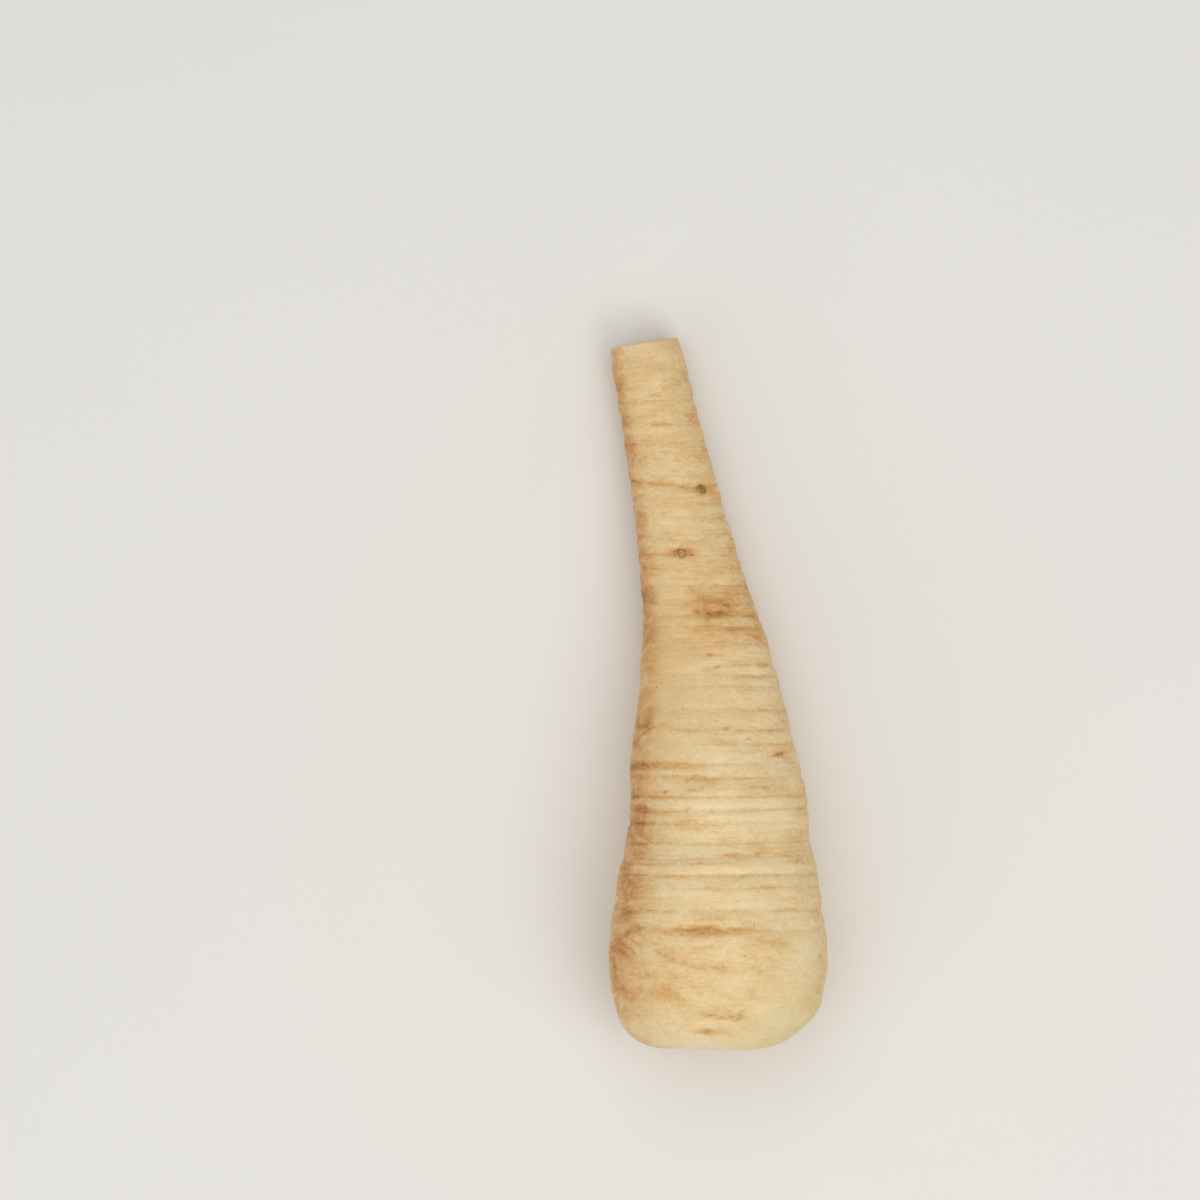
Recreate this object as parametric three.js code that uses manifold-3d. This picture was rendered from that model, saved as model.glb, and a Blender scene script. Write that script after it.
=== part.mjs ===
// A trimmed parsnip: one taproot with a hollow crown, cut leaf stalks and a knife-cut tail.
// Millimetres. The root lies on its side on Z = 0, with its crown at -Y and its tail at +Y.
// A place on it is given by "along", the distance from the crown's end, and "around", an angle
// about the root's axis: 0 on top, a quarter turn on the +X side and a half turn below.
import * as THREE from 'three';
import { mergeVertices } from 'three/addons/utils/BufferGeometryUtils.js';
import Module from 'manifold-3d';

const wasm = await Module();
wasm.setup();

const TURN = 2 * Math.PI;

// ---------- driving dimensions ----------

const LENGTH = 148.7; // crown's end to the middle of the tail's cut
const CROWN_RIM = 9; // radius of the crown's flattish end, where the shoulder starts
const SHOULDER_LENGTH = 20; // the shoulder rounds off over this length,
const SHOULDER_POWER = 2.3; // a little fuller than the quarter ellipse that 2 would make
const RIM_WAVE = { depth: 0.7, reach: 10 }; // how uneven its rim is, and how far that carries
const OVAL = 0.96; // height of a section over its width
const FLAT_DEPTH = 0.45; // how much the resting flat takes off the underside

// Half width of the root below its shoulder.
const HALF_WIDTHS = [
  { along: 20, value: 23.1 },
  { along: 30, value: 22.1 },
  { along: 38, value: 20.9 },
  { along: 44, value: 19.4 },
  { along: 50, value: 18.9 },
  { along: 61, value: 17.6 },
  { along: 73.5, value: 15.1 },
  { along: 84, value: 13.4 },
  { along: 97.7, value: 11.1 },
  { along: 123.7, value: 8.8 },
  { along: 142, value: 7.8 },
  { along: LENGTH, value: 7.1 },
];

// How far the root's axis lies to +X: it bends away to one side towards the tail.
const BENDS = [
  { along: 0, value: -1.7 },
  { along: 10, value: -0.3 },
  { along: 30, value: -0.3 },
  { along: 44, value: -0.4 },
  { along: 52, value: -0.2 },
  { along: 61, value: -1 },
  { along: 73.5, value: -1.7 },
  { along: 84, value: -2.7 },
  { along: 97.7, value: -5.2 },
  { along: 123.7, value: -10.6 },
  { along: LENGTH, value: -15.7 },
];

// Gap under the root: its belly and its tail touch the surface, its waist stands just clear.
const LIFTS = [
  { along: 20, value: 0 },
  { along: 66, value: 0 },
  { along: 102, value: 0.9 },
  { along: 136, value: 0.1 },
  { along: LENGTH, value: 0 },
];

// Growth rings, which the skin's rows of points follow: where they lie, and their grooves.
const RING_PLACES = [
  25.4, 29.4, 34.2, 36.8, 40.7, 43.5, 47.9, 50.4, 53.3, 57.1, 60.1, 64.1,
  67, 71.2, 76.2, 78.5, 81.1, 85.1, 88.6, 90.9, 93.2, 97.4,
];
const FAR_RINGS = { first: 101, last: 143, pitch: 3.5, spread: 0.3 };
const RING = { halfWidth: 0.75, shallow: 0.1, deep: 0.3, swell: 0.06, seed: 101 };
const RING_SWING = 0.5; // how far a ring wanders along the root as it goes round

// Broad lumps, as shares of the radius.
const LUMPS = { twist: 0.01, waves: 0.007, waist: 0.004 };

// A smooth area on one side, where the rings all but fade out.
const SMOOTH_AREA = { along: 78, reach: 17, degrees: -38, spread: 52, fade: 0.85 };

// Scars of side roots: where each lies, its length round the root and its strength.
const TOP_SCARS = [
  { along: 7.4, degrees: 2, length: 8, strength: 0.6 },
  { along: 17.2, degrees: -2, length: 5, strength: 0.3 },
  { along: 25.4, degrees: -4, length: 12, strength: 1 },
  { along: 25.8, degrees: -51, length: 6, strength: 0.7 },
  { along: 34.2, degrees: 30, length: 4.5, strength: 0.5 },
  { along: 36.8, degrees: 9, length: 6, strength: 0.6 },
  { along: 41, degrees: -57, length: 5, strength: 0.6 },
  { along: 50.4, degrees: -59, length: 6, strength: 0.6 },
  { along: 50.4, degrees: -9, length: 6, strength: 0.3 },
  { along: 57.1, degrees: -10, length: 7, strength: 0.6 },
  { along: 62.6, degrees: 58, length: 4, strength: 0.7 },
  { along: 80.4, degrees: 5, length: 4.5, strength: 0.4 },
  { along: 92, degrees: 14, length: 8, strength: 1 },
  { along: 104.5, degrees: -8, length: 5, strength: 0.8 },
  { along: 118, degrees: 40, length: 4, strength: 0.8 },
  { along: 132, degrees: 4, length: 4, strength: 0.7 },
];
const UNDER_SCARS = {
  rows: [122, 178, 236], // degrees round the root
  first: 22,
  later: 4, // how much further along each next row starts
  pitch: 12.5,
  uneven: 0.6, // share of the pitch
  sway: 16, // degrees
  shortest: 3.5,
  longest: 8,
  weakest: 0.4,
  count: 9,
  seed: 23,
};
const SCAR = { halfHeight: 0.9, slit: 0.48, lip: 0.16, dent: 0.28, dentReach: 4.5 };

// Broken side roots that stand a little out of their scars.
const SIDE_STUBS = [
  { along: 72, degrees: 124, height: 1, width: 2.4 },
  { along: 104.5, degrees: -8, height: 0.7, width: 1.6 },
  { along: 110, degrees: 238, height: 1, width: 1.9 },
  { along: 118, degrees: 40, height: 0.8, width: 1.6 },
  { along: 127, degrees: 166, height: 0.9, width: 1.6 },
];
// Their shape from the sunk foot to the tip: height and radius, as shares of height and width.
const STUB_SHAPE = [
  { up: -1.8, out: 0.8 },
  { up: 0.25, out: 0.55 },
  { up: 0.8, out: 0.42 },
  { up: 1, out: 0.25 },
];
const STUB_SIDES = 7;

// The crown's hollow, with cut leaf stalks set spirally in it round a bud.
const HOLLOW = { floor: 5.4, depth: 3.4 }; // radius of its flat floor, and its depth
const STALKS = {
  count: 9,
  turn: 137.5, // degrees from one stalk to the next
  inner: 1.5, // radius of the innermost sheath
  step: 0.6, // how much wider each next one is
  thick: 1.4,
  pointed: 0.8, // share of its thickness that a sheath has lost at its two edges
  narrow: 32, // degrees that the outermost sheath spans to each side
  wide: 80, // and the innermost
  uneven: 0.15, // share of that span
  short: 1.5,
  tall: 2.4,
  slant: 0.08,
  sunk: 1.5,
  steps: 6,
  seed: 5,
};
const BUD = { radius: 1.3, height: 2, sides: 7, levels: [-0.8, 0, 0.5, 0.85] };

// The tail's cut: its slope, and the fine groove round the core.
const CUT = { slant: 0.16, leanOver: 16, core: 0.5, coreWidth: 0.08, groove: 0.3 };

// Fineness of the mesh.
const SIDES = 32; // faces round the root
const CROWN_ROWS = [2.2, 4.2, 5.5, 6.3, 7, 7.7, 8.4]; // radii of the rows in the hollow
const SHOULDER_ROWS = 10;
const LONGEST_STEP = 2.1; // between two rows of the body
const CUT_ROW_GAP = 0.13; // share of the radius between two rows of the cut

// ---------- helpers ----------

const clamp01 = (t) => Math.min(1, Math.max(0, t));
const mix = (a, b, t) => a + (b - a) * t;
const radians = (degrees) => (degrees * Math.PI) / 180;
const bell = (t) => Math.exp(-t * t);

function smoothstep(low, high, value) {
  const t = clamp01((value - low) / (high - low));
  return t * t * (3 - 2 * t);
}

// The shortest way round from angle b to angle a, within half a turn either way.
const angleBetween = (a, b) => Math.atan2(Math.sin(a - b), Math.cos(a - b));

// Repeatable draws from 0 to 1.
function seededDraws(seed) {
  let state = seed;
  return () => {
    state = (Math.imul(1664525, state) + 1013904223) >>> 0;
    return state / 2 ** 32;
  };
}

// A smooth curve through the points, level at the first one and held outside them.
function curveThrough(points) {
  const last = points.length - 1;
  const slopeAfter = (i) => {
    const [from, to] = points.slice(i, i + 2);
    return (to.value - from.value) / (to.along - from.along);
  };
  const slopes = points.map((_, i) => {
    if (i === 0) return 0;
    if (i === last) return slopeAfter(last - 1);
    return (slopeAfter(i - 1) + slopeAfter(i)) / 2;
  });
  return (along) => {
    let i = 0;
    while (i < last - 1 && along > points[i + 1].along) i += 1;
    const span = points[i + 1].along - points[i].along;
    const t = clamp01((along - points[i].along) / span);
    const level = mix(points[i].value, points[i + 1].value, t * t * (3 - 2 * t));
    return level + span * t * (1 - t) * (slopes[i] * (1 - t) - slopes[i + 1] * t);
  };
}

// ---------- the root's form ----------

const bodyHalf = curveThrough(HALF_WIDTHS);
const bend = curveThrough(BENDS);
const lift = curveThrough(LIFTS);

// Half width with the shoulder included.
function halfWidth(along) {
  if (along >= SHOULDER_LENGTH) return bodyHalf(along);
  const left = 1 - clamp01(along / SHOULDER_LENGTH);
  return mix(CROWN_RIM, bodyHalf(0), (1 - left ** SHOULDER_POWER) ** (1 / SHOULDER_POWER));
}

// Middle of a section: the underside runs along the surface, and the flat sinks it a little.
function middle(along) {
  return { x: bend(along), z: OVAL * bodyHalf(along) + lift(along) - FLAT_DEPTH };
}

// Broad lumps, as a share of the radius.
function lumps(along, around) {
  const fade = smoothstep(2, 25, along) * (1 - smoothstep(0.8, 1, -Math.cos(around)));
  const twist = LUMPS.twist * Math.sin(2 * around + along / 19);
  const waves = LUMPS.waves * Math.sin(3 * around - along / 11 + 1);
  const waist = LUMPS.waist * Math.sin(along / 6.5 + 2 * Math.sin(around));
  return fade * (twist + waves + waist);
}

// How far a ring has wandered towards the crown at this angle.
function ringWander(ringAt, around) {
  const fade = smoothstep(6, 24, ringAt) * (1 - smoothstep(LENGTH - 12, LENGTH - 2, ringAt));
  const wave = 0.6 * Math.sin(around + ringAt / 17) + 0.4 * Math.sin(2 * around - ringAt / 9 + 1.3);
  return RING_SWING * fade * wave;
}

// How far the crown's uneven rim falls back towards the tail at this angle.
function rimWave(ringAt, around) {
  const wave = 0.5 - 0.3 * Math.sin(2 * around + 0.8) - 0.2 * Math.sin(3 * around - 1);
  return RIM_WAVE.depth * wave * (1 - smoothstep(0, RIM_WAVE.reach, ringAt));
}

// Rings show most on one side, and each fades out part of the way round.
function makeRings() {
  const draw = seededDraws(RING.seed);
  const places = [...RING_PLACES];
  for (let at = FAR_RINGS.first; at < FAR_RINGS.last;) {
    places.push(at);
    at += FAR_RINGS.pitch * (1 + FAR_RINGS.spread * (2 * draw() - 1));
  }
  return places.map((at) => ({
    at,
    depth: mix(RING.shallow, RING.deep, draw() ** 1.5),
    facing: TURN * draw(),
    reach: mix(1.6, 3.6, draw()),
  }));
}

// The hidden side's scars keep to rows as well, with uneven gaps.
function makeScars() {
  const { rows, first, later, pitch, uneven, sway, shortest, longest, weakest } = UNDER_SCARS;
  const draw = seededDraws(UNDER_SCARS.seed);
  const scars = [...TOP_SCARS];
  rows.forEach((row, r) => {
    for (let i = 0; i < UNDER_SCARS.count; i += 1) {
      scars.push({
        along: first + later * r + pitch * (i + uneven * draw()),
        degrees: row + sway * (draw() - 0.5),
        length: mix(shortest, longest, draw()),
        strength: mix(weakest, 1, draw()),
      });
    }
  });
  return scars;
}

const rings = makeRings();
const scars = makeScars();

// Height of the skin from its rings: a groove with a slight swell on both sides of it.
function ringRelief(ringAt, around) {
  let height = 0;
  for (const ring of rings) {
    const off = (ringAt - ring.at) / RING.halfWidth;
    const away = Math.abs(angleBetween(around, ring.facing));
    const shown = 1 - smoothstep(0.4 * ring.reach, ring.reach, away);
    height += shown * (RING.swell * bell((Math.abs(off) - 2) / 1.2) - ring.depth * bell(off));
  }
  return height;
}

// Height of the skin from its scars: a short slit between two lips, in a shallow dent.
function scarRelief(along, around) {
  let height = 0;
  for (const scar of scars) {
    const off = along - scar.along;
    const across = halfWidth(scar.along) * angleBetween(around, radians(scar.degrees));
    if (Math.hypot(off, across) > scar.length + SCAR.dentReach) continue;
    const rise = off / SCAR.halfHeight;
    const ends = bell((2 * across / scar.length) ** 2);
    const slit = SCAR.lip * bell(Math.abs(rise) - 1.9) - SCAR.slit * bell(rise);
    const dent = SCAR.dent * bell(off / SCAR.dentReach) * bell(across / (scar.length + 1));
    height += scar.strength * (ends * slit - dent);
  }
  return height;
}

// Share of the rings' relief that is left in the smooth area.
function ringsLeft(ringAt, around) {
  const off = (ringAt - SMOOTH_AREA.along) / SMOOTH_AREA.reach;
  const away = angleBetween(around, radians(SMOOTH_AREA.degrees)) / radians(SMOOTH_AREA.spread);
  return 1 - SMOOTH_AREA.fade * bell(off * off) * bell(away * away);
}

// Both reliefs die away at the two ends and at the underside, where the root rests.
function relief(ringAt, along, around) {
  const ends = smoothstep(1, 6, along) * (1 - smoothstep(LENGTH - 4, LENGTH - 1, along));
  const above = 1 - smoothstep(0.86, 0.96, -Math.cos(around));
  const ringed = ringsLeft(ringAt, around) * ringRelief(ringAt, around);
  return ends * above * (ringed + scarRelief(along, around));
}

// A point of the skin, or at a share of its radius. Towards the tail, sections lean with the cut.
function skinPoint(ringAt, around, share = 1) {
  const along = ringAt - ringWander(ringAt, around);
  const { x, z } = middle(along);
  const radius = halfWidth(along) * (1 + lumps(along, around)) + relief(ringAt, along, around);
  const across = share * radius * Math.sin(around);
  const lean = CUT.slant * smoothstep(LENGTH - CUT.leanOver, LENGTH, along);
  const up = OVAL * share * radius * Math.cos(around);
  const y = along + lean * across + share * rimWave(ringAt, around);
  return new THREE.Vector3(x + across, y, z + up);
}

// A point of the crown's end: its hollow dips between the rim and a flat floor.
function crownPoint(radius, around) {
  const point = skinPoint(0, around, radius / CROWN_RIM);
  point.y += HOLLOW.depth * (1 - smoothstep(HOLLOW.floor, CROWN_RIM, radius));
  return point;
}

// A point of the tail's cut face, with a fine groove round the core.
function cutPoint(share, around) {
  const point = skinPoint(LENGTH, around, share);
  point.y -= CUT.groove * bell((share - CUT.core) / CUT.coreWidth);
  return point;
}

// ---------- solids ----------

// A closed solid through rows of points, each end fanned from its middle. Seen from the first
// row towards the last, every row runs clockwise.
function loft(rows) {
  const count = rows[0].length;
  const middleOf = (row) => row.reduce((sum, p) => sum.add(p), new THREE.Vector3()).divideScalar(count);
  const points = [...rows.flat(), middleOf(rows[0]), middleOf(rows.at(-1))];
  const last = points.length - 1;
  const index = [];
  for (let k = 0; k < count; k += 1) {
    const next = (k + 1) % count;
    for (let near = 0; near < (rows.length - 1) * count; near += count) {
      const far = near + count;
      index.push(near + k, near + next, far + next, near + k, far + next, far + k);
    }
    const end = (rows.length - 1) * count;
    index.push(last - 1, next, k, last, end + k, end + next);
  }
  return toSolid(points, index);
}

function toSolid(points, index) {
  const vertProperties = new Float32Array(points.flatMap((p) => [p.x, p.y, p.z]));
  const triVerts = new Uint32Array(index);
  return new wasm.Manifold(new wasm.Mesh({ numProp: 3, vertProperties, triVerts }));
}

// Distances of the skin's rows: three to a ring, and more where two rings lie far apart.
function rowPlaces() {
  const fixed = [SHOULDER_LENGTH, LENGTH];
  for (const { at } of rings) {
    fixed.push(at - RING.halfWidth, at, at + RING.halfWidth);
  }
  const sorted = fixed.filter((at) => at >= SHOULDER_LENGTH).sort((a, b) => a - b);
  const places = [sorted[0]];
  for (const at of sorted.slice(1)) {
    const from = places.at(-1);
    const steps = Math.ceil((at - from) / LONGEST_STEP);
    for (let i = 1; i <= steps; i += 1) {
      places.push(mix(from, at, i / steps));
    }
  }
  return places;
}

function rootBody() {
  const angles = Array.from({ length: SIDES }, (_, k) => (TURN * k) / SIDES);
  const ring = (pointAt) => angles.map(pointAt);
  const rows = [];
  for (const radius of CROWN_ROWS) {
    rows.push(ring((around) => crownPoint(radius, around)));
  }
  for (let i = 0; i < SHOULDER_ROWS; i += 1) {
    const along = SHOULDER_LENGTH * (1 - Math.cos((i / SHOULDER_ROWS) * (TURN / 4)));
    rows.push(ring((around) => skinPoint(along, around)));
  }
  for (const at of rowPlaces()) {
    rows.push(ring((around) => skinPoint(at, around)));
  }
  for (const side of [1, 0, -1]) {
    rows.push(ring((around) => cutPoint(CUT.core + side * CUT_ROW_GAP, around)));
  }
  return loft(rows);
}

// A cut leaf stalk: a curved sheath, thin at its two edges, that stands in the hollow.
function leafStalk(i, draw) {
  const rank = i / (STALKS.count - 1);
  const inner = STALKS.inner + STALKS.step * i;
  const span = radians(mix(STALKS.wide, STALKS.narrow, rank));
  const reach = span * (1 + STALKS.uneven * (2 * draw() - 1));
  const facing = radians(STALKS.turn * i);
  const height = mix(STALKS.short, STALKS.tall, draw());
  const outlineAt = (level, slant) => {
    const place = (t, radius) => {
      const point = skinPoint(0, facing + reach * t, radius / CROWN_RIM);
      point.y = HOLLOW.depth - level - slant * radius * Math.cos(facing + reach * t);
      return point;
    };
    const across = Array.from({ length: STALKS.steps + 1 }, (_, k) => (2 * k) / STALKS.steps - 1);
    const innerEdge = across.map((t) => place(t, inner));
    const thickness = (t) => STALKS.thick * (1 - STALKS.pointed * t * t);
    const outerEdge = across.map((t) => place(t, inner + thickness(t)));
    return [...innerEdge, ...outerEdge.reverse()];
  };
  return loft([outlineAt(-STALKS.sunk, 0), outlineAt(height, STALKS.slant)]);
}

// The bud in the middle of the stalks: a small dome.
function bud() {
  const rows = BUD.levels.map((level) => {
    const radius = BUD.radius * Math.sqrt(1 - Math.max(level, 0) ** 2);
    return Array.from({ length: BUD.sides }, (_, k) => {
      const point = skinPoint(0, (-TURN * k) / BUD.sides, radius / CROWN_RIM);
      point.y = HOLLOW.depth - level * BUD.height;
      return point;
    });
  });
  return loft(rows);
}

// A broken side root: a low peg, square to the root's axis and sunk into the skin.
function sideStub({ along, degrees, height, width }) {
  const around = radians(degrees);
  const foot = skinPoint(along, around);
  const outward = new THREE.Vector3(Math.sin(around), 0, Math.cos(around));
  const sideways = new THREE.Vector3(Math.cos(around), 0, -Math.sin(around));
  const rows = STUB_SHAPE.map(({ up, out }) => Array.from({ length: STUB_SIDES }, (_, k) => {
    const turn = (TURN * k) / STUB_SIDES;
    const point = foot.clone().addScaledVector(outward, up * height);
    point.addScaledVector(sideways, out * width * Math.cos(turn));
    point.y += out * width * Math.sin(turn);
    return point;
  }));
  return loft(rows);
}

// What lies below the surface, to be cut off the underside.
function belowSurface() {
  const box = mergeVertices(new THREE.BoxGeometry(2 * LENGTH, 4 * LENGTH, LENGTH)
    .translate(0, 0, -LENGTH / 2)
    .deleteAttribute('normal')
    .deleteAttribute('uv'));
  return new wasm.Manifold(new wasm.Mesh({
    numProp: 3,
    vertProperties: box.getAttribute('position').array,
    triVerts: new Uint32Array(box.index.array),
  }));
}

// ---------- the part ----------

function parsnip() {
  const draw = seededDraws(STALKS.seed);
  let solid = rootBody().add(bud());
  for (let i = 0; i < STALKS.count; i += 1) {
    solid = solid.add(leafStalk(i, draw));
  }
  for (const stub of SIDE_STUBS) {
    solid = solid.add(sideStub(stub));
  }
  const { vertProperties, triVerts } = solid.subtract(belowSurface()).getMesh();
  const geometry = new THREE.BufferGeometry();
  geometry.setAttribute('position', new THREE.BufferAttribute(vertProperties, 3));
  geometry.setIndex(new THREE.BufferAttribute(triVerts, 1));
  geometry.computeVertexNormals();
  return geometry;
}

const skin = new THREE.MeshStandardMaterial({ color: 0xe4cfa4, roughness: 0.6, metalness: 0 });
const root = new THREE.Mesh(parsnip(), skin);
root.name = 'parsnip_root';

// The origin is under the middle of the root's box.
root.geometry.computeBoundingBox();
const centre = root.geometry.boundingBox.getCenter(new THREE.Vector3());
root.position.set(-centre.x, -centre.y, 0);

const group = new THREE.Group();
group.add(root);

export default group;
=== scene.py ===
"""A trimmed parsnip in a plain studio: skin, hollow crown, cut leaf stalks, rootlets and cut tail.

The root lies on its side on Z = 0, with its crown at -Y and its tail at +Y. A place on it is given
by "along", the distance in millimetres from the crown's end, and "around", an angle about the
root's axis: 0 on top, a quarter turn on the +X side and a half turn below.
"""
import logging
import math
from dataclasses import dataclass, field
from enum import Enum
from typing import ClassVar, Iterable, Iterator, Sequence, TypeVar

import bpy
import numpy as np
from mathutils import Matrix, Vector


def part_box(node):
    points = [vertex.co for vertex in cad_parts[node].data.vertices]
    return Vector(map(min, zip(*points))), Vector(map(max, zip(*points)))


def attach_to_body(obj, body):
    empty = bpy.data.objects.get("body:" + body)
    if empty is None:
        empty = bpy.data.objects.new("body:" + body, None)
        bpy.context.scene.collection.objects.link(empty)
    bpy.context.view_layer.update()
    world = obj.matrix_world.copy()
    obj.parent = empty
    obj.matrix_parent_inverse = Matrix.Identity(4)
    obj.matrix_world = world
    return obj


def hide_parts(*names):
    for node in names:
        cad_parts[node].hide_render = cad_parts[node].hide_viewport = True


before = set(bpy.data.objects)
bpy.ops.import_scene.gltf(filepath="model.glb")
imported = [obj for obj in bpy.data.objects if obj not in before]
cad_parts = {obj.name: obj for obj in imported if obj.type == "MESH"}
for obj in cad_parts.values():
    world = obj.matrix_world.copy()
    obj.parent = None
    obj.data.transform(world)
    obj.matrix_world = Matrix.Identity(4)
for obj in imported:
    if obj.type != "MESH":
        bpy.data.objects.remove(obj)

Array = np.ndarray
Triple = tuple[float, float, float]
Colour = Triple
Values = dict[str, Array]
Record = TypeVar("Record")

NODE = "parsnip_root"
BODY = "root"
MM = 0.001
CM_IN_A_METRE = 100
TURN = 2 * math.pi

log = logging.getLogger("parsnip")


# ---------------------------------------------------------------- number helpers


def draws(seed: int) -> Iterator[float]:
    """Repeatable draws from 0 to 1.

    Args:
        seed: where the series starts.

    Returns:
        An endless iterator.
    """
    state = seed
    while True:
        state = (1664525 * state + 1013904223) % 2**32
        yield state / 2**32


def rows_of(kind: type[Record], *rows: tuple[float, ...]) -> tuple[Record, ...]:
    """Records of one kind, each from a row of numbers in the order of its fields."""
    return tuple(kind(*row) for row in rows)


def mix(a: Array | float, b: Array | float, t: Array | float) -> Array | float:
    """The value a share t of the way from a to b."""
    return a + (b - a) * t


def smoothstep(low: float, high: float, value: Array | float) -> Array:
    """A smooth rise from 0 at low to 1 at high."""
    t = np.clip((value - low) / (high - low), 0, 1)
    return t * t * (3 - 2 * t)


def bell(t: Array | float) -> Array:
    """A bell curve: 1 at 0, and 0.37 at 1."""
    return np.exp(-t * t)


def angle_between(a: Array | float, b: Array | float) -> Array:
    """The shortest way round from angle b to angle a, within half a turn either way."""
    return np.arctan2(np.sin(a - b), np.cos(a - b))


def patch(at: tuple[float, float], reach: tuple[float, float], along: Array, around: Array,
          power: int = 1) -> Array:
    """A soft area on the skin.

    Args:
        at: its middle, as along and degrees.
        reach: how far it reaches from there in both.
        along: where each point lies.
        around: its angle.
        power: 2 makes the area even inside and steep at its edge.

    Returns:
        1 in the area's middle, fading to 0 outside it.
    """
    off = (along - at[0]) / reach[0]
    away = np.degrees(angle_between(around, math.radians(at[1]))) / reach[1]
    return bell(off**power) * bell(away**power)


def paint(red: int, green: int, blue: int) -> Colour:
    """A paint chip's 0 to 255 values as the linear colour that the shaders take."""
    chips = (red / 255, green / 255, blue / 255)
    return tuple(c / 12.92 if c <= 0.04045 else ((c + 0.055) / 1.055) ** 2.4 for c in chips)


@dataclass(frozen=True)
class Curve:
    """A smooth curve through knots of (along, value), level at the first and held outside them."""

    knots: tuple[tuple[float, float], ...]

    def __call__(self, along: Array | float) -> Array:
        """Reads the curve.

        Args:
            along: the distances.

        Returns:
            Its value at each of them.
        """
        at, value = np.array(self.knots).T
        secant = np.diff(value) / np.diff(at)
        slope = np.concatenate([[0.0], (secant[:-1] + secant[1:]) / 2, [secant[-1]]])
        i = np.clip(np.searchsorted(at, along, side="left") - 1, 0, len(at) - 2)
        span = at[i + 1] - at[i]
        t = np.clip((along - at[i]) / span, 0, 1)
        level = mix(value[i], value[i + 1], t * t * (3 - 2 * t))
        return level + span * t * (1 - t) * (slope[i] * (1 - t) - slope[i + 1] * t)


@dataclass(frozen=True)
class Ripple:
    """Uneven waves over the skin: many sines of random direction, seamless round the root."""

    seed: int
    along_waves: tuple[float, float]  # fewest and most waves in 10 mm along the root
    around_waves: int  # most waves in one turn round it
    count: int = 28

    def __call__(self, along: Array, around: Array) -> Array:
        """Reads the waves.

        Args:
            along: where each point lies.
            around: its angle.

        Returns:
            The height at each point, mostly between -1 and 1.
        """
        draw = draws(self.seed)
        total = np.zeros(np.broadcast(along, around).shape)
        for _ in range(self.count):
            rate = TURN * mix(*self.along_waves, next(draw)) / 10
            turns = round((2 * next(draw) - 1) * self.around_waves)
            total += np.sin(rate * along + turns * around + TURN * next(draw))
        return total / math.sqrt(self.count)


# ---------------------------------------------------------------- the root's form


@dataclass(frozen=True)
class Ring:
    """One growth ring: where it lies, how deep it is, and where round the root it shows."""

    at: float
    depth: float
    facing: float
    reach: float


@dataclass(frozen=True)
class Scar:
    """One side root's scar: its place, its length round the root and its strength."""

    along: float
    degrees: float
    length: float
    strength: float


@dataclass(frozen=True)
class GrowthRings:
    """The shallow grooves round the root."""

    places: tuple[float, ...] = (
        25.4, 29.4, 34.2, 36.8, 40.7, 43.5, 47.9, 50.4, 53.3, 57.1, 60.1, 64.1,
        67.0, 71.2, 76.2, 78.5, 81.1, 85.1, 88.6, 90.9, 93.2, 97.4,
    )
    far_first: float = 101.0
    far_last: float = 143.0
    pitch: float = 3.5
    spread: float = 0.3
    half_width: float = 0.75
    shallow: float = 0.1
    deep: float = 0.3
    swell: float = 0.06
    seed: int = 101
    smooth_at: tuple[float, float] = (78.0, -38.0)  # along and degrees of the smooth area
    smooth_reach: tuple[float, float] = (17.0, 52.0)
    smooth_fade: float = 0.85

    def rings(self) -> list[Ring]:
        """Draws every ring.

        Returns:
            The rings, each strongest on one side of the root.
        """
        draw = draws(self.seed)
        places = list(self.places)
        at = self.far_first
        while at < self.far_last:
            places.append(at)
            at += self.pitch * (1 + self.spread * (2 * next(draw) - 1))
        return [
            Ring(
                at=at,
                depth=mix(self.shallow, self.deep, next(draw) ** 1.5),
                facing=TURN * next(draw),
                reach=mix(1.6, 3.6, next(draw)),
            )
            for at in places
        ]

    def left(self, ring_at: Array, around: Array) -> Array:
        """Share of the rings that is left: they all but fade out in the smooth area."""
        smooth = patch(self.smooth_at, self.smooth_reach, ring_at, around, power=2)
        return 1 - self.smooth_fade * smooth

    def relief(self, ring_at: Array, around: Array) -> Array:
        """Height of the skin from its rings, with a slight swell on both sides of each groove.

        Args:
            ring_at: the ring that each point lies on.
            around: its angle.

        Returns:
            The height in millimetres.
        """
        height = np.zeros(np.broadcast(ring_at, around).shape)
        for ring in self.rings():
            off = (ring_at - ring.at) / self.half_width
            groove = self.swell * bell((np.abs(off) - 2) / 1.2) - ring.depth * bell(off)
            height += self.shown(ring, around) * groove
        return self.left(ring_at, around) * height

    def line(self, ring_at: Array, around: Array, half_width: float, band: float) -> Array:
        """Strength of the brown lines in the grooves, which the finish also darkens with painted
        shade, from 0 to about 1.

        Args:
            ring_at: the ring that each point lies on.
            around: its angle.
            half_width: of the thin line in each groove.
            band: how far the colour reaches beside the line, on one side of it.

        Returns:
            The strength at each point.
        """
        strength = np.zeros(np.broadcast(ring_at, around).shape)
        for number, ring in enumerate(self.rings()):
            colour = (0.35 + 0.65 * ring.depth / self.deep) * self.shown(ring, around)
            off = (ring_at - ring.at) * (1 if number % 3 else -1)
            beside = 0.45 * np.exp(-np.abs(off) / band) * smoothstep(-0.3, 0.3, off)
            strength += colour * np.maximum(bell(off / half_width), beside)
        return self.left(ring_at, around) * strength

    @staticmethod
    def shown(ring: Ring, around: Array) -> Array:
        """How much of a ring shows at each angle."""
        away = np.abs(angle_between(around, ring.facing))
        return 1 - smoothstep(0.4 * ring.reach, ring.reach, away)


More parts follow.
